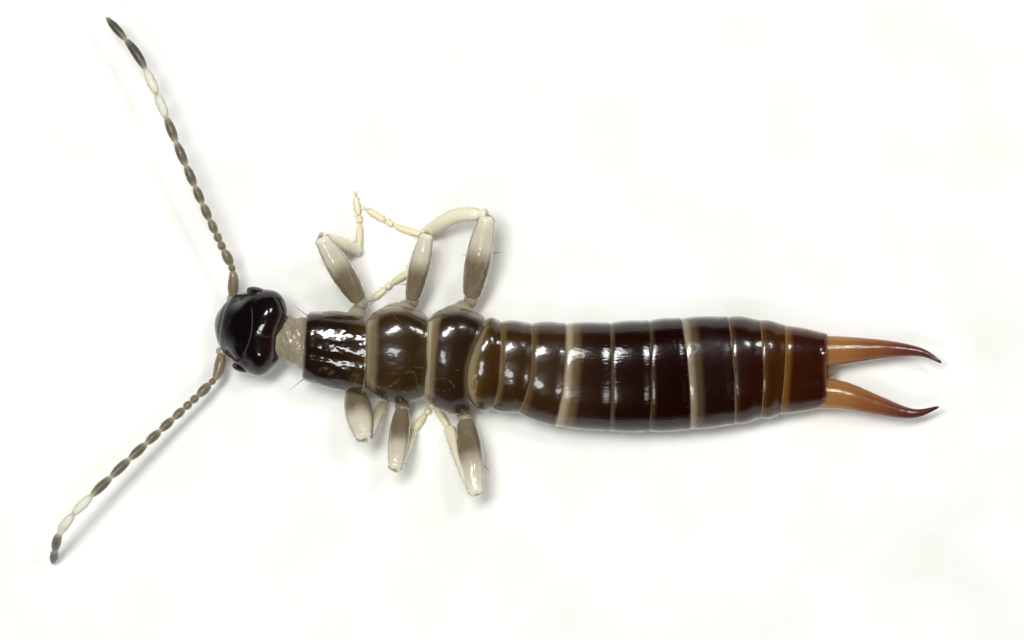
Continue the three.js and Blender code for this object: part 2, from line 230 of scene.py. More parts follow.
class Workshop:
    """Plain forms modelled once with operators, copied and shaped for each piece."""

    SMOOTH_ANGLE = math.radians(50)
    STEEP = 0.7

    def __init__(self) -> None:
        """Starts with no template."""
        self._templates: dict[tuple[str, int, int], bpy.types.Mesh] = {}

    def _tube_template(self, around: int, along: int) -> bpy.types.Mesh:
        """A closed unit tube, drawn out of a filled circle ring by ring.

        Args:
            around: corners of each ring.
            along: lengths between rings.

        Returns:
            The template's mesh.
        """
        key = ("tube", around, along)
        if key not in self._templates:
            deselect_all()
            bpy.ops.mesh.primitive_circle_add(vertices=around, fill_type="TRIFAN", location=(0, 0, 0))
            piece = bpy.context.object
            bpy.ops.object.mode_set(mode="EDIT")
            bpy.ops.mesh.select_all(action="SELECT")
            for _ in range(along):
                bpy.ops.mesh.extrude_region_move(TRANSFORM_OT_translate={"value": (0, 0, 1 / along)})
            bpy.ops.mesh.select_all(action="SELECT")
            bpy.ops.mesh.normals_make_consistent(inside=False)
            bpy.ops.object.mode_set(mode="OBJECT")
            self._templates[key] = self._shelve(piece)
        return self._templates[key]

    def _sheet_template(self, across: int, along: int) -> bpy.types.Mesh:
        """A unit sheet, two wide and two long, with its face up.

        Args:
            across: faces across the sheet.
            along: faces along the sheet.

        Returns:
            The template's mesh.
        """
        key = ("sheet", across, along)
        if key not in self._templates:
            deselect_all()
            bpy.ops.mesh.primitive_grid_add(x_subdivisions=across, y_subdivisions=along, location=(0, 0, 0))
            self._templates[key] = self._shelve(bpy.context.object)
        return self._templates[key]

    @staticmethod
    def _shelve(piece: bpy.types.Object) -> bpy.types.Mesh:
        """Keeps a piece's mesh and removes the piece."""
        mesh = piece.data
        mesh.use_fake_user = True
        bpy.data.objects.remove(piece)
        return mesh

    @staticmethod
    def _copy(name: str, template: bpy.types.Mesh) -> bpy.types.Object:
        """A new piece with its own copy of a template's mesh."""
        mesh = template.copy()
        mesh.use_fake_user = False
        mesh.name = name
        piece = bpy.data.objects.new(name, mesh)
        bpy.context.scene.collection.objects.link(piece)
        return piece

    def tube(self, name: str, around: int, along: int, place: Place) -> bpy.types.Object:
        """A closed piece shaped from the unit tube.

        Args:
            name: the piece's name.
            around: corners of each ring.
            along: lengths between rings.
            place: gives the point at a share of the length, an angle and a share of the radius.

        Returns:
            The piece, with the attributes along, side and up on its corners.
        """
        piece = self._copy(name, self._tube_template(around, along))
        rows = []
        for vertex in piece.data.vertices:
            side, up, share = vertex.co
            reach = min(1.0, math.hypot(side, up))
            angle = math.atan2(up, side)
            vertex.co = place(share, angle, reach) * MM
            rows.append((share, math.cos(angle) * reach, math.sin(angle) * reach))
        self.write_rows(piece, rows)
        return self.shade(piece)

    def sheet(self, name: str, across: int, along: int, place: Callable[[float, float], Vector],
              thickness: float) -> bpy.types.Object:
        """A thin curved plate with real thickness and rounded edges.

        Args:
            name: the piece's name.
            across: faces across the plate.
            along: faces along the plate.
            place: gives the point at a share of the width and a share of the length.
            thickness: of the plate, inwards.

        Returns:
            The piece, with the attributes along, side and up on its corners.
        """
        piece = self._copy(name, self._sheet_template(across, along))
        rows = []
        for vertex in piece.data.vertices:
            wide, long = (vertex.co.x + 1) / 2, (vertex.co.y + 1) / 2
            vertex.co = place(wide, long) * MM
            rows.append((long, 1 - 2 * wide, 1 - abs(1 - 2 * wide)))
        self.write_rows(piece, rows)
        self._modify(piece, "SOLIDIFY", thickness=thickness * MM, offset=-1)
        piece.data.update()
        self._modify(piece, "SUBSURF", levels=1, render_levels=1)
        return self.shade(piece)

    @staticmethod
    def _modify(piece: bpy.types.Object, kind: str, **settings: float) -> None:
        """Gives a piece one modifier and applies it."""
        activate(piece)
        modifier = piece.modifiers.new(kind.lower(), kind)
        for label, value in settings.items():
            setattr(modifier, label, value)
        bpy.ops.object.modifier_apply(modifier=modifier.name)

    @staticmethod
    def read(piece: bpy.types.Object, label: str) -> list[float]:
        """Values of one attribute, corner by corner."""
        return [datum.value for datum in piece.data.attributes[label].data]

    @staticmethod
    def write(piece: bpy.types.Object, label: str, values: Sequence[float]) -> None:
        """Writes one value for each corner as an attribute."""
        attribute = piece.data.attributes.get(label) or piece.data.attributes.new(label, "FLOAT", "POINT")
        attribute.data.foreach_set("value", values)

    def write_rows(self, piece: bpy.types.Object, rows: Sequence[tuple[float, float, float]]) -> None:
        """Writes where each corner lies on its piece as three attributes."""
        for label, values in zip(("along", "side", "up"), zip(*rows)):
            self.write(piece, label, values)

    def shade(self, piece: bpy.types.Object) -> bpy.types.Object:
        """Shades a piece smooth, apart from its sharp edges."""
        piece.data.update()
        activate(piece)
        bpy.ops.object.shade_smooth_by_angle(angle=self.SMOOTH_ANGLE)
        return piece

    def limb(self, name: str, route: Route, radius: Radius, around: int, along: int,
             depth: float = 1.0) -> bpy.types.Object:
        """A round piece strung along a route and kept above the floor.

        Args:
            name: the piece's name.
            route: the middle of the piece.
            radius: half thickness at a share of the length.
            around: corners of each ring.
            along: lengths between rings.
            depth: thickness upwards for each unit of thickness sideways.

        Returns:
            The piece.
        """
        run = route.at(1) - route.at(0)
        reference = UP if abs(run.z) < self.STEEP * run.length else Vector((1, 0, 0))

        def place(share: float, angle: float, reach: float) -> Vector:
            """Point on the limb's skin; its rings stand closer near both ends."""
            spot = 0.5 - 0.5 * math.cos(math.pi * share)
            wide = radius(spot) * reach
            return above_floor(route.skin(spot, angle, wide, wide * depth, reference))
        return self.tube(name, around, along, place)

    @staticmethod
    def join(name: str, pieces: Sequence[bpy.types.Object]) -> bpy.types.Object:
        """Several pieces as one.

        Args:
            name: the joined piece's name.
            pieces: what is joined; the first becomes the joined piece.

        Returns:
            The joined piece.
        """
        deselect_all()
        for piece in pieces:
            piece.select_set(True)
        bpy.context.view_layer.objects.active = pieces[0]
        bpy.ops.object.join()
        pieces[0].name = name
        pieces[0].data.name = name
        return pieces[0]


WORKSHOP = Workshop()


# Finishes

class Grain(Enum):
    """Fine relief of a surface."""

    POLISHED = "broad soft dents"
    SCRATCHED = "fine slanting scratches"
    FOLDED = "soft folds"
    DUSTY = "fine dust"
    DENTED = "many deep dents"


class Guide(Enum):
    """Attribute that a finish's colours follow."""

    ALONG = "along"
    BEAD = "bead"


@dataclass(frozen=True)
class GrainSize:
    """How a grain's noise is laid.

    Cells are counted per millimetre, the turn is about the upright axis, and the depth is in
    millimetres.
    """

    cells: tuple[float, float, float]
    turn: float
    depth: float
    strength: float
    detail: float = 2.0


GRAINS = {
    Grain.POLISHED: GrainSize((4.0, 5.5, 5.5), 0.0, 0.02, 0.4),
    Grain.SCRATCHED: GrainSize((9.0, 40.0, 26.0), -0.35, 0.005, 0.55, 3.0),
    Grain.FOLDED: GrainSize((13.0, 8.0, 8.0), 0.3, 0.06, 0.8),
    Grain.DENTED: GrainSize((3.4, 4.6, 4.6), 0.5, 0.055, 0.5),
    Grain.DUSTY: GrainSize((45.0, 45.0, 45.0), 0.0, 0.004, 0.5),
}


def wire(tree: bpy.types.NodeTree, made: bpy.types.Node, inputs: dict[str | int, object]) -> None:
    """Sets a node's inputs, each to a value or to another node's output."""
    for key, value in inputs.items():
        if isinstance(value, bpy.types.NodeSocket):
            tree.links.new(value, made.inputs[key])
        else:
            made.inputs[key].default_value = value


def node(tree: bpy.types.NodeTree, kind: str, inputs: dict[str | int, object] | None = None,
         **settings: object) -> bpy.types.Node:
    """A new node, set and wired.

    Args:
        tree: the node tree that it joins.
        kind: its type.
        inputs: a value or another node's output for each input that isn't left as it is.
        settings: its own properties.

    Returns:
        The node.
    """
    made = tree.nodes.new(kind)
    for label, value in settings.items():
        setattr(made, label, value)
    wire(tree, made, inputs or {})
    return made


def spread(tree: bpy.types.NodeTree, share: bpy.types.NodeSocket, low: float,
           high: float) -> bpy.types.NodeSocket:
    """Lays a share from 0 to 1 out from low to high."""
    return node(tree, "ShaderNodeMapRange", {"Value": share, "To Min": low, "To Max": high}).outputs[0]


def ramp(tree: bpy.types.NodeTree, share: bpy.types.NodeSocket, stops: Sequence[tuple[float, Rgb]],
         blend: str = "LINEAR") -> bpy.types.NodeSocket:
    """Colours that change with a share.

    Args:
        tree: the node tree.
        share: where on the ramp to read.
        stops: place and colour of each stop, in order.
        blend: how one stop passes into the next.

    Returns:
        The colour.
    """
    made = node(tree, "ShaderNodeValToRGB", {"Fac": share})
    made.color_ramp.interpolation = blend
    while len(made.color_ramp.elements) < len(stops):
        made.color_ramp.elements.new(0.5)
    for element, (where, colour) in zip(made.color_ramp.elements, stops):
        element.position = where
        element.color = (*colour, 1)
    return made.outputs["Color"]


def banded(tree: bpy.types.NodeTree, colour: bpy.types.NodeSocket, label: str, other: Rgb,
           low: float, high: float) -> bpy.types.NodeSocket:
    """Mixes another colour in where an attribute's size passes from low to high.

    Args:
        tree: the node tree.
        colour: the colour below low.
        label: the attribute.
        other: the colour above high.
        low: size at which the change begins.
        high: size at which it ends.

    Returns:
        The mixed colour.
    """
    reading = node(tree, "ShaderNodeAttribute", attribute_name=label).outputs["Fac"]
    size = node(tree, "ShaderNodeMath", {0: reading}, operation="ABSOLUTE").outputs[0]
    share = node(tree, "ShaderNodeMapRange", {"Value": size, "From Min": low, "From Max": high},
                 interpolation_type="SMOOTHSTEP").outputs[0]
    mixed = node(tree, "ShaderNodeMix", {0: share, 6: colour, 7: (*other, 1)}, data_type="RGBA")
    return mixed.outputs[2]


@dataclass(frozen=True)
class Finish:
    """A surface's colours, gloss and relief; left alone, its fields give a hard glossy shell."""

    name: str
    stops: tuple[tuple[float, Rgb], ...]
    guide: Guide = Guide.ALONG
    # Colour towards the sides: painted shade on the leg and pale feeler skins, partly painted reflection on
    # the first plate and the first nine abdomen plates, the thing's own colour elsewhere.
    flank: Rgb | None = None
    flank_from: float = 0.8
    flank_to: float = 0.95
    roughness: float = 0.22
    coat: float = 0.8
    coat_roughness: float = 0.06
    specular: float = 0.3
    grain: Grain = Grain.POLISHED
    wobble: float = 0.04
    mottle: float = 0.25
    glow: float = 0.0
    line: Rgb | None = None

    CLOUD_SCALE = 3.2 / MM
    CLOUD_DETAIL = 4.0
    CLOUDED_GLOSS = (0.75, 1.35)
    SHELL_IOR = 1.52
    COAT_IOR = 1.42
    GLOW_COLOUR = (1.0, 0.95, 0.8)
    GLOW_DEPTH = 0.12 * MM

    def material(self) -> bpy.types.Material:
        """The finish as a procedural material, made once."""
        return bpy.data.materials.get(self.name) or self._make()

    def _make(self) -> bpy.types.Material:
        """Builds the node tree.

        Returns:
            The new material.
        """
        material = bpy.data.materials.new(self.name)
        material.use_nodes = True
        tree = material.node_tree
        place = node(tree, "ShaderNodeTexCoord").outputs["Object"]
        noise_inputs = {"Vector": place, "Scale": self.CLOUD_SCALE, "Detail": self.CLOUD_DETAIL}
        clouds = node(tree, "ShaderNodeTexNoise", noise_inputs).outputs["Fac"]
        normal = self._relief(tree, place)
        surface = {
            "Base Color": self._colour(tree, clouds),
            "Roughness": spread(tree, clouds, *(self.roughness * part for part in self.CLOUDED_GLOSS)),
            "IOR": self.SHELL_IOR,
            "Specular IOR Level": self.specular,
            "Coat Weight": self.coat,
            "Coat Roughness": self.coat_roughness,
            "Coat IOR": self.COAT_IOR,
            "Normal": normal,
            "Coat Normal": normal,
        }
        if self.glow:
            surface |= {
                "Subsurface Weight": self.glow,
                "Subsurface Radius": self.GLOW_COLOUR,
                "Subsurface Scale": self.GLOW_DEPTH,
            }
        wire(tree, tree.nodes["Principled BSDF"], surface)
        return material

    def _colour(self, tree: bpy.types.NodeTree, clouds: bpy.types.NodeSocket) -> bpy.types.NodeSocket:
        """Colours along the piece, then its flanks, its drawn lines, and soft light and dark clouds; the
        flank colour is painted shade on the leg and pale feeler skins and partly painted reflection on the
        first plate and the abdomen plates.
        """
        guide = node(tree, "ShaderNodeAttribute", attribute_name=self.guide.value).outputs["Fac"]
        shift = node(tree, "ShaderNodeMath", {0: clouds, 1: 2 * self.wobble, 2: -self.wobble},
                     operation="MULTIPLY_ADD").outputs[0]
        place = node(tree, "ShaderNodeMath", {0: guide, 1: shift}, operation="ADD").outputs[0]
        colour = ramp(tree, place, self.stops, "EASE")
        if self.flank:
            colour = banded(tree, colour, "side", self.flank, self.flank_from, self.flank_to)
        if self.line:
            colour = banded(tree, colour, "line", self.line, 0.1, 1.0)
        light = spread(tree, clouds, 1 - self.mottle, 1 + self.mottle)
        return node(tree, "ShaderNodeHueSaturation", {"Value": light, "Color": colour}).outputs["Color"]

    def _relief(self, tree: bpy.types.NodeTree, place: bpy.types.NodeSocket) -> bpy.types.NodeSocket:
        """Bends the normal by the grain's noise."""
        size = GRAINS[self.grain]
        scale = tuple(cells / MM for cells in size.cells)
        lay = node(tree, "ShaderNodeMapping",
                   {"Vector": place, "Rotation": (0, 0, size.turn), "Scale": scale})
        relief = node(tree, "ShaderNodeTexNoise",
                      {"Vector": lay.outputs[0], "Scale": 1.0, "Detail": size.detail}).outputs["Fac"]
        bump = node(tree, "ShaderNodeBump",
                    {"Height": relief, "Strength": size.strength, "Distance": size.depth * MM})
        return bump.outputs["Normal"]


def tones(*stops: tuple[float, int, int, int]) -> tuple[tuple[float, Rgb], ...]:
    """Colours along a piece, each a place from its front to its end and an eight-bit colour."""
    return tuple((where, srgb(*colour)) for where, *colour in stops)


HEAD_FINISH = Finish(
    "head_shell",
    tones((0.0, 34, 20, 14), (0.2, 16, 8, 9), (0.75, 9, 5, 7), (0.85, 26, 18, 14), (1.0, 60, 46, 34)),
    roughness=0.16, coat=0.9, coat_roughness=0.03, line=srgb(84, 74, 68), mottle=0.15,
)
RING_FINISHES = {
    "prothorax": Finish(
        "pronotum_shell",
        tones(
            (0.0, 110, 98, 80), (0.05, 28, 18, 10), (0.6, 32, 20, 11), (0.95, 56, 40, 20),
            (1.0, 120, 108, 84),
        ),
        # The pale flank colour is partly the plate's pale rim and partly a painted reflection of the bright
        # surroundings.
        flank=srgb(112, 100, 84), flank_from=0.84, flank_to=0.93, roughness=0.16, coat=1.0,
        coat_roughness=0.04, line=srgb(104, 88, 50), grain=Grain.DENTED,
    ),
    "mesothorax": Finish(
        "mesonotum_shell",
        tones(
            (0.0, 150, 138, 108), (0.12, 112, 100, 72), (0.24, 52, 35, 17), (0.85, 46, 32, 11),
            (0.97, 62, 46, 22), (1.0, 150, 138, 108),
        ),
        flank=srgb(126, 114, 96), flank_from=0.58, flank_to=0.68, line=srgb(104, 86, 46),
    ),
    "metathorax": Finish(
        "metanotum_shell",
        tones(
            (0.0, 188, 176, 152), (0.14, 112, 98, 72), (0.28, 44, 29, 15), (0.88, 36, 23, 9),
            (1.0, 84, 68, 44),
        ),
        flank=srgb(116, 106, 90), flank_from=0.58, flank_to=0.7, line=srgb(104, 86, 46),
    ),
    # On the abdomen plates from the first to the ninth, the greyer flank colour is partly the clearer cuticle
    # at the sides and partly a painted reflection of the bright surroundings.
    "abdomen_1": Finish(
        "abdomen_shell_1",
        tones(
            (0.0, 150, 138, 108), (0.2, 128, 114, 82), (0.36, 80, 60, 26), (0.5, 60, 40, 10),
            (0.9, 50, 30, 8), (1.0, 112, 92, 60),
        ),
        # Flank: partly clearer cuticle, partly painted reflection.
        flank=srgb(92, 80, 60), flank_from=0.7, flank_to=0.84, line=srgb(160, 142, 92),
    ),
    "abdomen_2": Finish(
        "abdomen_shell_2",
        tones(
            (0.0, 170, 154, 122), (0.14, 98, 78, 46), (0.3, 50, 32, 9), (0.92, 46, 29, 8),
            (1.0, 100, 80, 50),
        ),
        # Flank: partly clearer cuticle, partly painted reflection.
        flank=srgb(80, 70, 54), flank_from=0.7, flank_to=0.84,
    ),
    "abdomen_3": Finish(
        "abdomen_shell_3",
        tones(
            (0.0, 150, 134, 104), (0.16, 84, 66, 38), (0.3, 50, 32, 11), (0.94, 46, 28, 10),
            (1.0, 120, 104, 80),
        ),
        # Flank: partly clearer cuticle, partly painted reflection.
        flank=srgb(76, 68, 54), flank_from=0.72, flank_to=0.86,
    ),
    "abdomen_4": Finish(
        "abdomen_shell_4",
        tones(
            (0.0, 178, 165, 142), (0.13, 150, 136, 110), (0.27, 92, 74, 48), (0.44, 40, 22, 10),
            (0.95, 30, 14, 6), (1.0, 76, 60, 44),
        ),
        # Flank: partly clearer cuticle, partly painted reflection.
        flank=srgb(62, 54, 44), flank_from=0.76, flank_to=0.92, grain=Grain.SCRATCHED, roughness=0.14,
        coat_roughness=0.03,
    ),
    "abdomen_5": Finish(
        "abdomen_shell_5",
        tones(
            (0.0, 150, 138, 110), (0.08, 84, 68, 44), (0.2, 27, 11, 5), (0.95, 26, 9, 3),
            (1.0, 60, 46, 34),
        ),
        # Flank: partly clearer cuticle, partly painted reflection.
        flank=srgb(52, 44, 36), flank_from=0.78, flank_to=0.94, grain=Grain.SCRATCHED, roughness=0.14,
        coat_roughness=0.03,
    ),
    "abdomen_6": Finish(
        "abdomen_shell_6",
        tones(
            (0.0, 96, 84, 56), (0.1, 62, 46, 24), (0.25, 23, 5, 2), (0.95, 22, 4, 2), (1.0, 66, 50, 34),
        ),
        # Flank: partly clearer cuticle, partly painted reflection.
        flank=srgb(46, 36, 30), flank_from=0.78, flank_to=0.94, grain=Grain.SCRATCHED, roughness=0.14,
        coat_roughness=0.03,
    ),
    "abdomen_7": Finish(
        "abdomen_shell_7",
        tones(
            (0.0, 176, 164, 140), (0.12, 134, 122, 98), (0.26, 74, 58, 38), (0.42, 27, 7, 3),
            (0.95, 24, 4, 2), (1.0, 96, 78, 58),
        ),
        # Flank: partly clearer cuticle, partly painted reflection.
        flank=srgb(48, 36, 28), flank_from=0.78, flank_to=0.94,
    ),
    "abdomen_8": Finish(
        "abdomen_shell_8",
        tones(
            (0.0, 120, 106, 74), (0.12, 66, 44, 18), (0.3, 36, 9, 2), (0.95, 36, 10, 2),
            (1.0, 110, 90, 62),
        ),
        # Flank: partly clearer cuticle, partly painted reflection.
        flank=srgb(56, 36, 24), flank_from=0.78, flank_to=0.94,
    ),
    "abdomen_9": Finish(
        "abdomen_shell_9",
        tones(
            (0.0, 124, 104, 62), (0.15, 78, 48, 10), (0.4, 54, 25, 2), (0.94, 58, 28, 3),
            (1.0, 128, 106, 62),
        ),
        # Flank: partly clearer cuticle, partly painted reflection.
        flank=srgb(72, 48, 24), flank_from=0.76, flank_to=0.9,
    ),
    "abdomen_10": Finish(
        "abdomen_shell_10",
        tones(
            (0.0, 134, 104, 46), (0.12, 104, 68, 20), (0.28, 48, 16, 3), (0.9, 44, 13, 3),
            (1.0, 96, 50, 22),
        ),
        flank=srgb(112, 74, 28), flank_from=0.5, flank_to=0.74,
    ),
}
BELLY_FINISH = Finish(
    "belly_shell",
    tones((0.0, 150, 136, 106), (0.2, 92, 70, 44), (0.9, 72, 50, 30), (1.0, 120, 104, 78)),
    flank=srgb(130, 114, 86), roughness=0.3, coat=0.5,
)
MEMBRANE_FINISH = Finish(
    "membrane_skin",
    tones((0.0, 150, 142, 118), (0.3, 138, 128, 104), (1.0, 150, 140, 114)),
    roughness=0.3, coat=0.8, coat_roughness=0.1, grain=Grain.FOLDED, glow=0.25, mottle=0.3,
)
FORCEPS_FINISH = Finish(
    "forceps_shell",
    tones(
        (0.0, 146, 106, 58), (0.2, 146, 98, 50), (0.45, 126, 74, 42), (0.75, 96, 46, 38),
        (0.95, 70, 28, 24), (1.0, 50, 20, 16),
    ),
    roughness=0.22, coat=1.0, coat_roughness=0.09, mottle=0.12, grain=Grain.SCRATCHED,
)
END_FINISH = Finish(
    "end_plate_shell",
    tones((0.0, 84, 56, 36), (1.0, 146, 118, 92)),
    roughness=0.3, coat=0.4,
)
THIGH_FINISH = Finish(
    "thigh_skin",
    tones(
        (0.0, 168, 158, 130), (0.1, 132, 120, 94), (0.45, 116, 102, 78), (0.64, 200, 194, 170),
        (0.93, 222, 216, 194), (0.965, 112, 90, 58), (1.0, 150, 130, 94),
    ),
    # The darker flank colour is painted shade along the thigh's edges, standing in for the dark rims of its
    # clear cuticle.
    flank=srgb(128, 115, 92), flank_from=0.72, flank_to=1.05, roughness=0.2, coat=1.0,
    coat_roughness=0.04, glow=0.25, mottle=0.16, specular=0.5, grain=Grain.DENTED,
)
SHIN_FINISH = Finish(
    "shin_skin",
    tones((0.0, 176, 152, 108), (0.1, 228, 224, 200), (0.85, 230, 224, 194), (1.0, 196, 176, 130)),
    # The darker flank colour is painted shade along the shin's edges, standing in for the dark rims of its
    # clear cuticle.
    flank=srgb(196, 186, 150), flank_from=0.65, flank_to=1.05, roughness=0.32, coat=0.6,
    coat_roughness=0.1, glow=0.35, mottle=0.08,
)
FOOT_FINISH = Finish(
    "foot_skin",
    tones((0.0, 230, 222, 186), (0.9, 226, 216, 176), (1.0, 160, 136, 96)),
    # The darker flank colour is painted shade along the foot's edges, standing in for the dark rims of its
    # clear cuticle.
    flank=srgb(196, 182, 140), flank_from=0.65, flank_to=1.05, roughness=0.4, coat=0.4,
    coat_roughness=0.15, glow=0.3, mottle=0.08,
)
HIP_FINISH = Finish(
    "hip_skin",
    tones((0.0, 142, 134, 112), (0.6, 156, 148, 124), (1.0, 120, 104, 78)),
    roughness=0.3, coat=0.6, coat_roughness=0.1, glow=0.3, mottle=0.15,
)
FEELER_FINISHES = {
    "scape": Finish(
        "feeler_base_skin",
        tones((0.0, 142, 132, 106), (0.5, 122, 110, 84), (1.0, 116, 104, 80)),
        guide=Guide.BEAD, glow=0.3, roughness=0.3, coat=0.5, coat_roughness=0.1, grain=Grain.DUSTY,
    ),
    "flagellum_base": Finish(
        "feeler_low_skin",
        tones((0.0, 160, 152, 128), (0.4, 126, 116, 92), (1.0, 110, 100, 80)),
        guide=Guide.BEAD, glow=0.3, roughness=0.35, coat=0.4, coat_roughness=0.15, grain=Grain.DUSTY,
    ),
    "flagellum_mid": Finish(
        "feeler_middle_skin",
        tones((0.0, 172, 166, 144), (0.4, 128, 120, 98), (1.0, 96, 88, 70)),
        guide=Guide.BEAD, glow=0.25, roughness=0.4, coat=0.3, coat_roughness=0.2, grain=Grain.DUSTY,
    ),
    "flagellum_pale": Finish(
        "feeler_pale_skin",
        tones((0.0, 178, 174, 154), (0.4, 206, 204, 186), (1.0, 214, 212, 194)),
        # The darker flank colour is painted shade along the pale joints' edges, standing in for the dark rims
        # of their clear cuticle.
        flank=srgb(160, 156, 136), flank_from=0.6, flank_to=1.05, guide=Guide.BEAD, glow=0.2,
        roughness=0.42, coat=0.3, coat_roughness=0.2, grain=Grain.DUSTY,
    ),
    "flagellum_tip": Finish(
        "feeler_tip_skin",
        tones((0.0, 160, 154, 136), (0.3, 112, 104, 90), (1.0, 74, 68, 58)),
        guide=Guide.BEAD, glow=0.15, roughness=0.42, coat=0.3, coat_roughness=0.2, grain=Grain.DUSTY,
    ),
}
EYE_FINISH = Finish(
    "eye_lens",
    tones((0.0, 10, 8, 10), (1.0, 16, 12, 13)),
    roughness=0.25, coat=0.7, coat_roughness=0.12, grain=Grain.DUSTY, mottle=0.1,
)
MOUTH_FINISH = Finish(
    "mouth_shell",
    tones((0.0, 60, 40, 24), (0.6, 96, 66, 36), (1.0, 52, 30, 18)),
)
PALP_FINISH = Finish(
    "palp_skin",
    tones((0.0, 160, 146, 110), (1.0, 190, 176, 136)),
    roughness=0.35, coat=0.5, coat_roughness=0.1, glow=0.3,
)
BRISTLE_FINISH = Finish(
    "bristle_horn",
    tones((0.0, 48, 34, 22), (1.0, 110, 88, 60)),
    roughness=0.35, coat=0.2, coat_roughness=0.2, grain=Grain.DUSTY,
)


def dress(piece: bpy.types.Object, finish: Finish, slot: str, *nodes: str) -> None:
    """Gives a piece its finish, hangs it on the body and hides the solids that it stands for.

    Args:
        piece: the finished piece.
        finish: its surface.
        slot: not used.
        nodes: the solids that it stands for.
    """
    piece.data.materials.clear()
    piece.data.materials.append(finish.material())
    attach(piece, BODY)
    if nodes:
        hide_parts(*nodes)
    log.info("%s: %d faces", piece.name, len(piece.data.polygons))


# Trunk

class MarkKind(Enum):
    """Shape of a pale mark on a plate."""

    RING = "outline of an oval"
    PATCH = "filled oval"


@dataclass(frozen=True)
class Mark:
    """A pale mark in plan: an oval or its outline, which fades towards its edge."""

    kind: MarkKind
    x: float
    y: float
    half_length: float
    half_width: float
    turn: float = 0.0
    strength: float = 1.0
    blur: float = 0.014
    grit_cells: float = 22.0
    crumple_cells: float = 11.0

    def strength_at(self, point: Vector) -> float:
        """How strong the mark is at a point of a plate."""
        along, across = point.x - self.x, point.y - self.y
        first = (along * math.cos(self.turn) + across * math.sin(self.turn)) / self.half_length
        second = (across * math.cos(self.turn) - along * math.sin(self.turn)) / self.half_width
        turn = math.atan2(second, first)
        grit = noise.noise(Vector((point.x, point.y, 0.0)) * self.grit_cells)
        crumple = noise.noise(Vector((point.x, point.y, 3.0)) * self.crumple_cells)
        far = math.hypot(first, second) * (1 + 0.09 * math.sin(3 * turn + 1) + 0.3 * crumple)
        if self.kind is MarkKind.PATCH:
            return self.strength * (1 - smooth(0.4, 1.2, far)) * clamp(0.7 + 1.3 * grit)
        gap = (far - 1) * min(self.half_length, self.half_width)
        return self.strength * hump(gap, 0.0, self.blur) * clamp(0.75 + 1.2 * grit)


PLATE_MARKS = {
    "prothorax": (
        Mark(MarkKind.PATCH, -2.24, -1.1, 0.14, 0.075, -0.1, 0.5),
        Mark(MarkKind.PATCH, -1.85, -1.2, 0.1, 0.13, 0.2, 0.5),
        Mark(MarkKind.PATCH, -1.83, -1.0, 0.07, 0.012, 0.0, 0.6),
    ),
    "mesothorax": (
        Mark(MarkKind.RING, -1.15, -1.27, 0.14, 0.145, 0.0, 0.6),
        Mark(MarkKind.PATCH, -1.36, -1.29, 0.14, 0.022, 0.5, 0.7),
        Mark(MarkKind.PATCH, -1.38, -1.14, 0.12, 0.018, 0.0, 0.6),
        Mark(MarkKind.PATCH, -0.97, -1.055, 0.12, 0.014, 0.0, 0.7),
    ),
    "metathorax": (
        Mark(MarkKind.RING, -0.7, -1.29, 0.15, 0.085, 0.05, 0.6),
        Mark(MarkKind.PATCH, -0.8, -1.06, 0.1, 0.014, 0.0, 0.6),
        Mark(MarkKind.PATCH, -0.46, -1.09, 0.09, 0.014, 0.0, 0.6),
    ),
    "abdomen_1": (Mark(MarkKind.RING, -0.27, -1.29, 0.05, 0.11, -0.2, 0.8),),
}


@dataclass(frozen=True)
class Border:
    """One end of a trunk ring: its place along the animal, its slant and bow, and its section."""

    x: float
    slant: float
    bow: float
    y: float
    half_width: float
    top: float
    base: float


@dataclass(frozen=True)
class Ring:
    """One ring of the trunk between two borders."""

    name: str
    front: Border
    hind: Border
    bulge: float
    roll: float
    squareness: float = 0.82

    def point(self, share: float, angle: float, swell: float = 0.0, reach: float = 1.0) -> Vector:
        """Point on the ring's skin.

        Args:
            share: place from the front border to the hind one.
            angle: round the ring, 0 on the right side and a quarter turn at the back.
            swell: distance outside the skin.
            reach: share of the way out from the middle.

        Returns:
            The point in millimetres.
        """
        inside = clamp(share)
        bulge = 4 * inside * (1 - inside) * self.bulge
        top = mix(self.front.top, self.hind.top, share)
        base = mix(self.front.base, self.hind.base, share)
        half_width = mix(self.front.half_width, self.hind.half_width, share) + bulge + swell
        half_height = (top - base) / 2 + 0.3 * bulge + swell
        side = signed_power(math.cos(angle), self.squareness) * reach
        up = signed_power(math.sin(angle), self.squareness) * reach
        along = mix(self._edge(self.front, side), self._edge(self.hind, side), share)
        wide, high = side * half_width, up * half_height
        turned_wide = wide * math.cos(self.roll) - high * math.sin(self.roll)
        turned_high = wide * math.sin(self.roll) + high * math.cos(self.roll)
        middle = mix(self.front.y, self.hind.y, share)
        return Vector((along, middle + turned_wide, max(0.0, (top + base) / 2 + turned_high)))

    @staticmethod
    def _edge(border: Border, side: float) -> float:
        """Place of a border along the animal at a share of the width."""
        return border.x + border.slant * side + border.bow * side * side


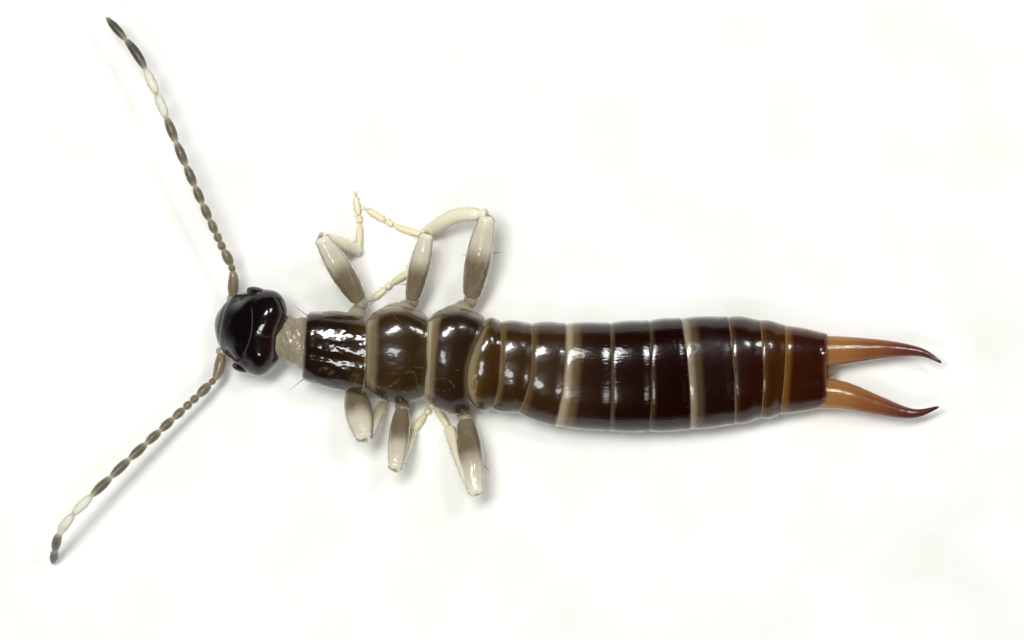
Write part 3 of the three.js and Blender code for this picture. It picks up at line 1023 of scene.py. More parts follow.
THORAX_ROLL = math.radians(17)
ABDOMEN_ROLL = math.radians(7)
THORAX = (
    Ring("prothorax", Border(-2.56, 0.03, 0, -0.77, 0.465, 0.95, 0.36),
         Border(-1.74, 0.03, -0.02, -0.9, 0.52, 0.99, 0.3), 0.02, THORAX_ROLL),
    Ring("mesothorax", Border(-1.7, 0.02, 0, -0.85, 0.5, 0.97, 0.3),
         Border(-0.91, 0.03, -0.02, -0.91, 0.56, 0.98, 0.27), 0.15, THORAX_ROLL),
    Ring("metathorax", Border(-0.87, 0.04, -0.01, -0.92, 0.58, 0.97, 0.27),
         Border(-0.38, 0.08, 0.16, -1.0, 0.64, 0.95, 0.24), 0.13, THORAX_ROLL),
)
ABDOMEN_BORDERS = (
    Border(-0.35, 0.08, 0.16, -1.0, 0.575, 0.9, 0.2),
    Border(0.08, 0.06, -0.05, -1.03, 0.59, 0.9, 0.14),
    Border(0.48, 0.09, -0.08, -1.07, 0.6, 0.9, 0.08),
    Border(0.93, 0.08, -0.05, -1.16, 0.69, 0.9, 0.03),
    Border(1.58, 0, -0.02, -1.19, 0.73, 0.9, 0.0),
    Border(2.11, 0, -0.02, -1.18, 0.75, 0.9, -0.02),
    Border(2.61, -0.06, -0.03, -1.15, 0.755, 0.88, -0.02),
    Border(3.23, -0.05, -0.02, -1.105, 0.725, 0.86, -0.02),
    Border(3.62, -0.01, -0.02, -1.085, 0.66, 0.82, 0.0),
    Border(3.91, 0.03, -0.01, -1.095, 0.605, 0.77, 0.05),
    Border(4.5, 0, 0.03, -1.1, 0.49, 0.63, 0.14),
)
RING_BULGE = 0.02
ABDOMEN = tuple(
    Ring(f"abdomen_{i + 1}", ABDOMEN_BORDERS[i], ABDOMEN_BORDERS[i + 1], RING_BULGE,
         mix(THORAX_ROLL, ABDOMEN_ROLL, min(1.0, (i + 1) / 4)))
    for i in range(10)
)
PLAIN_ARCH = 0.002
PLATE_ARCH = {
    "prothorax": 0.01, "mesothorax": 0.0, "metathorax": 0.0, "abdomen_1": 0.03, "abdomen_2": 0.012,
    "abdomen_3": 0.012, "abdomen_8": 0.014, "abdomen_9": 0.014,
}
RING_SLOTS = {
    "prothorax": "black_shell",
    **{f"abdomen_{i}": "black_shell" for i in range(4, 8)},
    **{f"abdomen_{i}": "amber_shell" for i in range(8, 11)},
}


@dataclass
class Trunk:
    """Plates of the thorax and abdomen over one soft skin."""

    plate_thickness: float = 0.014
    tuck: float = 0.024
    hind_lift: float = 0.012
    skin_depth: float = 0.04
    overlap: float = 0.03
    back_from: float = math.radians(-24)
    belly_from: float = math.radians(-40)
    thorax_corner: float = 0.11
    abdomen_corner: float = 0.05
    last_corner: float = 0.03
    belly_corner: float = 0.06
    plate_faces: int = 84
    marked_rows: int = 34
    plain_rows: int = 16

    def build(self) -> None:
        """Makes the plates of each ring, the skin between them, the lobes and the neck."""
        for ring in (*THORAX, *ABDOMEN):
            self._back_plate(ring)
            self._belly_plate(ring)
        self._skin()
        self._lobes()
        self._neck()

    def _swell(self, share: float) -> float:
        """How far a plate stands out along its length: tucked in front, lifted at its hind edge."""
        lifted = self.hind_lift * smooth(0.8, 1.03, share)
        tucked = self.tuck * (1 - smooth(-0.1, 0.12, share))
        return lifted - tucked

    @staticmethod
    def _rims(across: float) -> float:
        """Relief of the first plate: raised rims at its flanks and a fine groove down its middle."""
        return 0.012 * smooth(0.9, 1.0, abs(across)) - 0.01 * hump(across, 0.0, 0.03)

    @staticmethod
    def _knobs(share: float, across: float) -> float:
        """Relief of the last plate: two knobs at its hind edge and a dent between them."""
        dent = 0.018 * hump(across, -0.08, 0.035) * smooth(0.3, 0.5, share) * (1 - smooth(0.75, 0.95, share))
        pair = sum(hump(across, spot, 0.07) for spot in (-0.3, 0.22))
        return 0.025 * pair * smooth(0.86, 0.98, share) - dent

    def _back_plate(self, ring: Ring) -> None:
        """One back plate, from flank to flank over the back."""
        first, last = ring is THORAX[0], ring is ABDOMEN[-1]
        lap = self.overlap / (ring.hind.x - ring.front.x)
        lead = 0.0 if first else -lap
        tail = 1.0 if last else 1 + lap
        turn = math.pi - 2 * self.back_from
        arch = PLATE_ARCH.get(ring.name, PLAIN_ARCH)
        cut = self.thorax_corner if ring in THORAX else self.last_corner if last else self.abdomen_corner

        def place(wide: float, long: float) -> Vector:
            """Point of the plate, with rounded corners and a broad soft relief."""
            across = 1 - 2 * wide
            corner = 1 - cut * min(1.0, abs(across) / 0.85) ** 6
            share = 0.5 + (mix(lead, tail, long) - 0.5) * corner
            swell = self._swell(share) + arch * math.sin(math.pi * clamp(share))
            if first:
                swell += self._rims(across)
            if last:
                swell += self._knobs(share, across)
            return ring.point(share, self.back_from + turn * wide, swell)
        marks = PLATE_MARKS.get(ring.name, ())
        rows = self.marked_rows if marks else self.plain_rows
        piece = WORKSHOP.sheet(f"back_plate_{ring.name}", self.plate_faces, rows, place, self.plate_thickness)
        if marks:
            self._draw(piece, marks)
        dress(piece, RING_FINISHES[ring.name], RING_SLOTS.get(ring.name, "brown_shell"), ring.name)

    @staticmethod
    def _draw(piece: bpy.types.Object, marks: Sequence[Mark]) -> None:
        """Writes the strength of the pale marks on a plate, from their places in plan."""
        corners = [vertex.co / MM for vertex in piece.data.vertices]
        WORKSHOP.write(piece, "line", [max(mark.strength_at(corner) for mark in marks) for corner in corners])

    def _belly_plate(self, ring: Ring) -> None:
        """One belly plate, from flank to flank under the body."""
        turn = math.pi + 2 * self.belly_from

        def place(wide: float, long: float) -> Vector:
            """Point of the plate, facing down."""
            corner = 1 - self.belly_corner * abs(1 - 2 * wide) ** 8
            share = 0.5 + (mix(-0.02, 1.04, long) - 0.5) * corner
            return ring.point(share, math.pi - self.belly_from + turn * wide, self._swell(share) - 0.002)
        piece = WORKSHOP.sheet(f"belly_plate_{ring.name}", 28, 10, place, self.plate_thickness)
        dress(piece, BELLY_FINISH, "brown_shell", ring.name)

    def _skin(self) -> None:
        """The soft skin under all the plates."""
        rings = (*THORAX, *ABDOMEN)

        def place(share: float, angle: float, reach: float) -> Vector:
            """Point of the skin, pinched a little at each border and halfway between borders."""
            index = min(len(rings) - 1, int(share * len(rings)))
            inner = share * len(rings) - index
            pinch = 0.012 * math.cos(2 * math.pi * inner) ** 6
            side_fold = 0.006 * math.sin(9 * angle)
            return rings[index].point(inner, angle, -self.skin_depth - pinch + side_fold, reach)
        piece = WORKSHOP.tube("soft_skin", 72, len(rings) * 8, place)
        dress(piece, MEMBRANE_FINISH, "membrane")

    def _lobes(self) -> None:
        """The pale lobes that stand out beside the thorax plates, over the hips."""
        for ring in THORAX:
            for label, hand in HANDS.items():
                flank = math.radians(-8 if hand > 0 else 188)

                def place(share: float, angle: float, reach: float) -> Vector:
                    """Point of a low lobe along the flank."""
                    full = math.sin(math.pi * clamp(share, 0.02, 0.98)) ** 0.5
                    middle = ring.point(mix(0.12, 0.98, share), flank, -0.05)
                    out = Vector((0, math.cos(angle) * 0.085, math.sin(angle) * 0.07))
                    return middle + out * (reach * full)
                piece = WORKSHOP.tube(f"flank_lobe_{ring.name}_{label}", 18, 14, place)
                dress(piece, HIP_FINISH, "membrane")

    def _neck(self) -> None:
        """The soft folded neck between the head and the first plate."""
        route = Route([(-3.0, -0.67, 0.64), (-2.75, -0.7, 0.66), (-2.48, -0.74, 0.66)])

        def place(share: float, angle: float, reach: float) -> Vector:
            """Point of the neck, with folds across it and fine creases between them."""
            fold = 0.016 * math.cos(5 * math.pi * share + math.sin(angle))
            fold += 0.014 * math.sin(3 * angle + 7 * share)
            crease = 0.012 * math.sin(7 * angle - 9 * share) * math.sin(math.pi * share)
            wide = mix(0.27, 0.335, smooth(0.0, 0.7, share)) + fold + crease
            high = 0.2 + 0.6 * fold + crease
            out = Vector((0.02 * math.cos(2 * angle), math.cos(angle) * wide, math.sin(angle) * high))
            return route.at(share) + out * reach
        piece = WORKSHOP.tube("neck_folds", 48, 30, place)
        dress(piece, MEMBRANE_FINISH, "membrane", "neck")


# Head

@dataclass
class Head:
    """Heart-shaped head capsule with its eyes, sutures and mouth."""

    pivot: Vector = field(default_factory=lambda: Vector((-2.9, -0.65, 0.76)))
    pitch: float = math.radians(24)
    yaw: float = math.radians(15)
    roll: float = math.radians(9)
    length: float = 0.99
    half_width: float = 0.595
    half_depth: float = 0.3
    notch: float = 0.09
    lobe_reach: float = 0.11
    cheek: float = 0.32
    face_taper: float = 0.6
    back_round: float = 0.3
    front_round: float = 0.24
    eye_along: float = 0.43
    eye_side: float = 0.525
    eye_up: float = 0.05
    eye_half: tuple[float, float, float] = (0.15, 0.07, 0.1)
    squareness: float = 0.92
    suture_depth: float = 0.005

    def __post_init__(self) -> None:
        """Works out how the head is turned and hung."""
        self.turn = (Matrix.Translation(self.pivot) @ Matrix.Rotation(-self.yaw, 4, "Z")
                     @ Matrix.Rotation(-self.pitch, 4, "Y") @ Matrix.Rotation(self.roll, 4, "X"))

    def build(self) -> None:
        """Makes the capsule, then the eyes, feeler sockets and palps, and the mouth."""
        self._capsule()
        for label, hand in HANDS.items():
            self._eye(label, hand)
            self._socket(label)
            self._palp(label, hand)
        self._mouth()

    def _width_at(self, share: float) -> float:
        """Half width of the head at a share of its length from the back of the head to the lip."""
        backwards = max(0.0, (self.cheek - share) / self.cheek)
        forwards = max(0.0, (share - self.cheek) / (1 - self.cheek))
        return self.half_width * (1 - 0.1 * backwards ** 3 - self.face_taper * forwards ** 1.7)

    def skin(self, share: float, angle: float, reach: float, swell: float) -> Vector:
        """Point of the head's skin in the head's own frame, looking along -X.

        Args:
            share: place from the back of the head to the lip.
            angle: round the head, 0 on the right side and a quarter turn on top.
            reach: share of the way out from the middle.
            swell: distance outside the skin.

        Returns:
            The point in millimetres.
        """
        end = rounded(share, (self.back_round, self.back_round), (self.front_round, self.front_round))
        side = signed_power(math.cos(angle), self.squareness) * reach
        up = signed_power(math.sin(angle), self.squareness) * reach
        flat = 0.9 + 0.1 * (share / 0.35) if share < 0.35 else 1 - 0.4 * ((share - 0.35) / 0.65) ** 2
        wide = side * (self._width_at(share) + swell) * end
        high = up * (self.half_depth * flat + swell) * end
        notch = self.notch * hump(wide / self.half_width, 0.0, 0.4) * (1 - share) ** 3
        return Vector((-(share * self.length) + self.lobe_reach * (1 - share) - notch, wide, high))

    @staticmethod
    def _suture(share: float, side: float, up: float) -> float:
        """Strength of the Y-shaped line on the crown: a stem down the middle and two arms."""
        if up < 0:
            return 0.0
        stem = hump(side, 0.0, 0.011) * (1 - smooth(0.25, 0.29, share)) * 0.45
        bend = 0.315 + 0.12 * clamp(abs(side) / 0.6) ** 1.5
        arm = hump(share, bend, 0.007) * (1 - smooth(0.5, 0.64, abs(side)))
        return max(stem, arm)

    @staticmethod
    def _dents(spot: float, side: float, up: float) -> float:
        """Relief of the crown: lobes, a dent between them, brows, hollows for the feelers, a groove."""
        if up < 0:
            return 0.0
        lobes = 0.014 * hump(spot, 0.17, 0.13) * hump(abs(side), 0.52, 0.2)
        middle = -0.014 * hump(spot, 0.16, 0.1) * hump(side, 0.0, 0.22)
        brow = 0.014 * hump(spot, 0.52, 0.09) * hump(abs(side), 0.62, 0.18)
        hollow = -0.03 * hump(spot, 0.68, 0.08) * hump(abs(side), 0.8, 0.2)
        groove = -0.008 * hump(spot, 0.82, 0.018)
        return lobes + middle + brow + hollow + groove

    def _capsule(self) -> None:
        """The head capsule, with the crown's lines sunk a little."""
        def place(share: float, angle: float, reach: float) -> Vector:
            """Point of the capsule in the frame of the whole animal."""
            spot = 0.5 + 0.5 * math.cos(math.pi * share)
            side, up = math.cos(angle) * reach, math.sin(angle) * reach
            relief = self._dents(spot, side, up) - self.suture_depth * self._suture(spot, side, up)
            return self.turn @ self.skin(spot, angle, reach, relief)
        piece = WORKSHOP.tube("head_capsule", 160, 150, place)
        along, side, up = (WORKSHOP.read(piece, label) for label in ("along", "side", "up"))
        spots = [0.5 + 0.5 * math.cos(math.pi * share) for share in along]
        WORKSHOP.write(piece, "line", [self._suture(*row) for row in zip(spots, side, up)])
        WORKSHOP.write(piece, "along", spots)
        dress(piece, HEAD_FINISH, "black_shell", "head")

    def _eye(self, label: str, hand: int) -> None:
        """One small oval eye, domed and set into the side of the head."""
        deselect_all()
        bpy.ops.mesh.primitive_ico_sphere_add(subdivisions=4, radius=1.0, location=(0, 0, 0))
        piece = bpy.context.object
        piece.name = piece.data.name = f"eye_lens_{label}"
        bpy.ops.object.mode_set(mode="EDIT")
        bpy.ops.mesh.select_all(action="SELECT")
        bpy.ops.transform.resize(value=self.eye_half)
        bpy.ops.transform.translate(value=(-self.eye_along, hand * self.eye_side, self.eye_up))
        bpy.ops.object.mode_set(mode="OBJECT")
        rows = []
        for vertex in piece.data.vertices:
            rows.append((abs(vertex.co.y) / self.eye_side, 0.0, 1.0))
            vertex.co = (self.turn @ vertex.co) * MM
        WORKSHOP.write_rows(piece, rows)
        dress(WORKSHOP.shade(piece), EYE_FINISH, "eye", f"eye_{label}")

    def _socket(self, label: str) -> None:
        """The raised rim that the feeler stands in."""
        foot, onward = (Vector(point) for point in FEELER_ROUTES[label][:2])
        ahead = onward - foot
        route = Route([foot - ahead * 0.2, foot + ahead * 0.02, foot + ahead * 0.14])

        def radius(share: float) -> float:
            """Half thickness of the rim, rounded at both ends."""
            return 0.085 * math.sqrt(max(0.05, 1 - (2 * share - 1) ** 4))
        dress(WORKSHOP.limb(f"feeler_socket_{label}", route, radius, 24, 10), HIP_FINISH, "membrane")

    def _head_route(self, *points: tuple[float, float, float]) -> Route:
        """A route in the head's own frame, each point a share of its length ahead, aside and up."""
        return Route([self.turn @ Vector((-ahead * self.length, side, up)) for ahead, side, up in points])

    def _mouth(self) -> None:
        """Upper lip, two jaws and lower lip below the front of the head."""
        lip = self._head_route((0.9, 0, -0.06), (0.99, 0, -0.12), (1.05, 0, -0.2))
        parts = [WORKSHOP.limb("upper_lip", lip, domed(0.15, 3), 24, 12, 0.5)]
        for label, hand in HANDS.items():
            jaw = self._head_route((0.78, hand * 0.17, -0.2), (0.93, hand * 0.17, -0.25),
                                   (1.03, hand * 0.09, -0.28), (1.04, 0, -0.29))
            parts.append(WORKSHOP.limb(f"jaw_{label}", jaw, domed(0.085, 2, extra=0.004), 18, 16, 0.6))
        lip = self._head_route((0.6, 0, -0.26), (0.8, 0, -0.29), (0.95, 0, -0.3))
        parts.append(WORKSHOP.limb("lower_lip", lip, domed(0.13, 2.5), 20, 12, 0.45))
        dress(WORKSHOP.join("mouth", parts), MOUTH_FINISH, "brown_shell", "mouthparts")

    def _palp(self, label: str, hand: int) -> None:
        """One jointed palp folded under the head."""
        route = self._head_route((0.6, hand * 0.22, -0.26), (0.72, hand * 0.27, -0.33),
                                 (0.9, hand * 0.24, -0.32), (1.02, hand * 0.16, -0.28))

        def radius(share: float) -> float:
            """Half thickness of the palp: four joints with narrow necks and a small blunt tip."""
            joints = 0.72 + 0.28 * abs(math.sin(4 * math.pi * share)) ** 0.6
            return 0.034 * joints * (1 if share < 0.97 else 0.5)
        piece = WORKSHOP.limb(f"palp_joints_{label}", route, radius, 16, 40)
        dress(piece, PALP_FINISH, "membrane", f"palp_{label}")


# Feelers

FEELER_SEGMENTS = ((0.37, 0.155), (0.09, 0.095), (0.22, 0.135), (0.12, 0.11), (0.125, 0.11),
                   (0.19, 0.118), (0.235, 0.12), (0.25, 0.122), (0.295, 0.125), (0.335, 0.126),
                   (0.35, 0.126), (0.335, 0.125), (0.365, 0.128), (0.47, 0.128), (0.4, 0.115))
FEELER_PARTS = (("scape", 0, 1), ("flagellum_base", 1, 6), ("flagellum_mid", 6, 11),
                ("flagellum_pale", 11, 13), ("flagellum_tip", 13, 15))
FEELER_ROUTES = {
    "right": ((-3.535, -0.125, 0.5), (-3.535, 0.26, 0.6), (-3.67, 0.57, 0.66), (-3.9, 1.08, 0.72),
              (-4.23, 1.85, 0.76), (-4.63, 2.82, 0.74), (-4.83, 3.19, 0.71), (-5.24, 3.68, 0.64)),
    "left": ((-3.69, -0.86, 0.42), (-3.75, -1.16, 0.46), (-3.9, -1.34, 0.52), (-4.47, -1.88, 0.66),
             (-5.1, -2.48, 0.84), (-5.77, -3.18, 0.96), (-6.03, -3.74, 0.08)),
}


@dataclass
class Feeler:
    """One feeler of fifteen spindle-shaped joints."""

    hand: str
    joint_share: float = 0.36
    rings_per_bead: int = 14

    def build(self) -> None:
        """Makes the feeler in the same five lengths as the solids."""
        route = Route(FEELER_ROUTES[self.hand])
        whole = sum(length for length, _ in FEELER_SEGMENTS)
        ends, passed = [0.0], 0.0
        for length, _ in FEELER_SEGMENTS:
            passed += length / whole
            ends.append(passed)
        self.route, self.ends = route, ends
        for part, first, last in FEELER_PARTS:
            beads = [self._bead(i) for i in range(first, last)]
            piece = WORKSHOP.join(f"feeler_{part}_{self.hand}", beads)
            slot = "pale_feeler" if part == "flagellum_pale" else "feeler"
            dress(piece, FEELER_FINISHES[part], slot, f"feeler_{self.hand}_{part}")

    def _bead(self, index: int) -> bpy.types.Object:
        """One joint of the feeler, thick in the middle and necked at both ends."""
        start, end = self.ends[index], self.ends[index + 1]
        full = FEELER_SEGMENTS[index][1] / 2
        last = index == len(FEELER_SEGMENTS) - 1
        route = self.route

        def radius(inner: float) -> float:
            """Half thickness at a share of the joint."""
            shape = math.sin(math.pi * clamp(0.5 * inner ** 0.85 + 0.5 * inner)) ** 0.62
            neck = 0.12 if last and inner > 0.5 else self.joint_share
            return full * (neck + (1 - neck) * shape)

        def place(share: float, angle: float, reach: float) -> Vector:
            """Point of the joint; its necks run a little into its neighbours."""
            spot = mix(start, end, mix(-0.02, 1.0 if last else 1.02, share))
            half = radius(clamp(share)) * reach
            return above_floor(route.skin(spot, angle, half, half))
        piece = WORKSHOP.tube(f"bead_{self.hand}_{index}", 16, self.rings_per_bead, place)
        shares = WORKSHOP.read(piece, "along")
        values = [smooth(0.0, 1.0, math.sin(math.pi * clamp(share))) for share in shares]
        WORKSHOP.write(piece, "bead", values)
        return piece


# Legs

@dataclass(frozen=True)
class Leg:
    """One leg: where it grows, its joints, and its thickness."""

    name: str
    ring: Ring
    along: float
    angle: float
    hip: tuple[float, float, float]
    knee: tuple[float, float, float]
    ankle: tuple[float, float, float]
    foot: tuple[float, float, float]
    toe: tuple[float, float, float]
    thigh: float
    shin: float
    arch: float = 0.0

    def build(self) -> None:
        """Makes the hip, thigh, shin and foot."""
        hip, knee, ankle = Vector(self.hip), Vector(self.knee), Vector(self.ankle)
        self._hip(hip, knee)
        self._thigh(hip, knee)
        self._shin(knee, ankle)
        self._foot(ankle)

    def _hip(self, hip: Vector, knee: Vector) -> None:
        """The stout hip joint and the small ring between it and the thigh."""
        root = self.ring.point(self.along, math.radians(self.angle), -0.08)
        out = self.ring.point(self.along, math.radians(self.angle), 0.0)

        def stout(share: float) -> float:
            """Half thickness of the hip, rounded off where it meets the ring."""
            return mix(0.15, 0.1, share) * math.sqrt(max(0.05, 1 - max(0.0, share - 0.75) ** 2 / 0.07))

        def slim(share: float) -> float:
            """Half thickness of the ring, rounded at both ends."""
            return 0.098 * math.sqrt(max(0.1, 1 - (2 * share - 1) ** 4 * 0.8))
        cone = WORKSHOP.limb(f"hip_{self.name}", Route([root, out, hip.lerp(out, 0.25)]), stout, 20, 14)
        middle = Route([out.lerp(hip, 0.62), hip, hip.lerp(knee, 0.09)])
        ring = WORKSHOP.limb(f"hip_ring_{self.name}", middle, slim, 20, 12)
        piece = WORKSHOP.join(f"hip_joint_{self.name}", [cone, ring])
        dress(piece, HIP_FINISH, "membrane", f"{self.name}_femur")

    def _thigh(self, hip: Vector, knee: Vector) -> None:
        """The long swollen thigh with a rounded knee."""
        bow = hip.lerp(knee, 0.5) + UP * 0.04
        route = Route([hip.lerp(knee, 0.03), bow, knee])

        def radius(share: float) -> float:
            """Half thickness of the thigh, fullest just before its middle, with a knobbed knee."""
            full = math.sin(math.pi * clamp(share * 0.86 + 0.1)) ** 0.7
            knob = 0.012 * hump(share, 0.955, 0.03)
            body = 0.055 + (self.thigh / 2 - 0.055) * full + knob
            return body * rounded(share, (0.06, 0.062), (0.05, 0.052)) + 0.002
        piece = WORKSHOP.limb(f"thigh_{self.name}", route, radius, 28, 44)
        dress(piece, THIGH_FINISH, "thigh", f"{self.name}_femur")

    def bow(self, start: Vector, end: Vector) -> Vector:
        """How far the shin bows out of the straight line between its ends."""
        return Vector((0, self.arch, 0.1 * (end - start).length))

    def _shin(self, knee: Vector, ankle: Vector) -> None:
        """The slender curved shin."""
        route = Route([knee, knee.lerp(ankle, 0.45) + self.bow(knee, ankle), ankle])

        def radius(share: float) -> float:
            """Half thickness of the shin, with a neck below its knee knob."""
            body = mix(self.shin * 0.42, self.shin * 0.5, math.sin(math.pi * min(1.0, share * 1.1)))
            neck = 1 - 0.28 * hump(share, 0.09, 0.035)
            return body * neck * rounded(share, (0.04, 0.042), (0.04, 0.043)) + 0.002
        piece = WORKSHOP.limb(f"shin_{self.name}", route, radius, 22, 36)
        dress(piece, SHIN_FINISH, "shin", f"{self.name}_tibia")

    def _foot(self, ankle: Vector) -> None:
        """Three foot joints and two claws."""
        foot, toe = Vector(self.foot), Vector(self.toe)
        pad = toe + (toe - foot).normalized() * 0.03
        pad.z = 0.045
        whole = Route([ankle.lerp(foot, 0.06), foot, toe, pad])

        def radius(share: float) -> float:
            """Half thickness of a foot joint, fullest before its middle and rounded at both ends."""
            full = 0.62 + 0.38 * math.sin(math.pi * clamp(share * 0.8 + 0.15)) ** 0.7
            return 0.046 * full * math.sqrt(max(0.06, 1 - (2 * share - 1) ** 8))
        parts = []
        joints = (0.0, 0.5, 0.64, 1.0)
        for index, (start, end) in enumerate(zip(joints, joints[1:])):
            route = Route([whole.at(mix(start, end, step / 4)) for step in range(5)])
            parts.append(WORKSHOP.limb(f"foot_{self.name}_{index}", route, radius, 16, 18))
        ahead = toe - foot
        ahead.z = 0
        ahead.normalize()
        across = UP.cross(ahead)
        for label, hand in HANDS.items():
            claw = Route([pad, pad + ahead * 0.045 + across * (0.022 * hand) + UP * 0.012,
                          pad + ahead * 0.085 + across * (0.03 * hand) - UP * 0.032])
            name = f"claw_{self.name}_{label}"
            parts.append(WORKSHOP.limb(name, claw, lambda share: 0.012 * (1 - share) + 0.0015, 8, 10))
        dress(WORKSHOP.join(f"foot_{self.name}", parts), FOOT_FINISH, "shin", f"{self.name}_tarsus")


LEGS = (
    Leg("fore_right", THORAX[0], 0.82, -38, (-1.8, -0.18, 0.5), (-2.33, 0.71, 0.95), (-1.85, 0.53, 0.15),
        (-1.83, 0.86, 0.06), (-1.885, 1.25, 0.045), 0.33, 0.17),
    Leg("mid_right", THORAX[1], 0.62, -38, (-1.11, -0.17, 0.5), (-0.89, 0.76, 1.0), (-1.13, 0.25, 0.15),
        (-1.38, 0.09, 0.06), (-1.63, -0.12, 0.045), 0.28, 0.16),
    Leg("hind_right", THORAX[2], 0.62, -38, (-0.31, -0.15, 0.48), (-0.08, 1.0, 0.95), (-0.96, 0.74, 0.16),
        (-1.33, 0.86, 0.06), (-1.72, 1.08, 0.045), 0.36, 0.2, 0.11),
    Leg("fore_left", THORAX[0], 0.72, 222, (-1.9, -1.36, 0.32), (-1.73, -2.04, 0.86), (-1.51, -1.57, 0.15),
        (-1.41, -1.36, 0.06), (-1.27, -1.08, 0.045), 0.38, 0.17),
    Leg("mid_left", THORAX[1], 0.55, 222, (-1.24, -1.62, 0.3), (-1.33, -2.45, 0.8), (-1.11, -1.94, 0.15),
        (-0.95, -1.73, 0.06), (-0.76, -1.48, 0.045), 0.28, 0.16),
    Leg("hind_left", THORAX[2], 0.7, 222, (-0.39, -1.75, 0.3), (-0.23, -2.79, 0.74), (-0.61, -1.89, 0.16),
        (-0.79, -1.61, 0.06), (-0.98, -1.16, 0.045), 0.35, 0.2),
)


# Forceps

FORCEPS_ROUTES = {
    "right": ((4.44, -0.845, 0.4), (4.86, -0.825, 0.39), (5.5, -0.82, 0.37), (5.85, -0.87, 0.38),
              (6.085, -1.0, 0.41)),
    "left": ((4.44, -1.41, 0.38), (4.8, -1.46, 0.38), (5.18, -1.57, 0.37), (5.72, -1.69, 0.37),
             (6.05, -1.6, 0.4)),
}


@dataclass
class Forceps:
    """The two curved arms at the tail and the small plate between them."""

    base: float = 0.43
    taper: float = 0.93
    flatness: float = 0.75

    def build(self) -> None:
        """Makes both arms and the end plate."""
        for label, hand in HANDS.items():
            self._arm(label, Route(FORCEPS_ROUTES[label]), -hand)
        plate = Route([(4.44, -1.13, 0.4), (4.56, -1.13, 0.38), (4.65, -1.13, 0.36)])
        piece = WORKSHOP.limb("end_plate", plate, domed(0.085, 2, 0.03), 20, 12, 0.7)
        dress(piece, END_FINISH, "brown_shell", "pygidium")

    def _arm(self, label: str, route: Route, inward: int) -> None:
        """One arm: broad and finely ridged inside at its base, smooth and hooked at its tip."""
        def place(share: float, angle: float, reach: float) -> Vector:
            """Point of the arm, with a low keel inside that fades towards the tip."""
            spot = share ** 1.1
            half = self.base / 2 * (1 - self.taper * spot ** 1.2) * (1 if spot < 0.995 else 0.4)
            inner = math.cos(angle) * inward
            keel = 1 + 0.05 * (1 - spot) * max(0.0, inner) ** 4
            ridge = 0.002 * math.sin(70 * spot) * smooth(0.75, 1.0, inner) * (1 - smooth(0.35, 0.5, spot))
            return route.skin(spot, angle, (half * keel + ridge) * reach, half * self.flatness * reach)
        piece = WORKSHOP.tube(f"forceps_arm_{label}", 40, 60, place)
        dress(piece, FORCEPS_FINISH, "amber_shell", f"forceps_{label}")


# Bristles

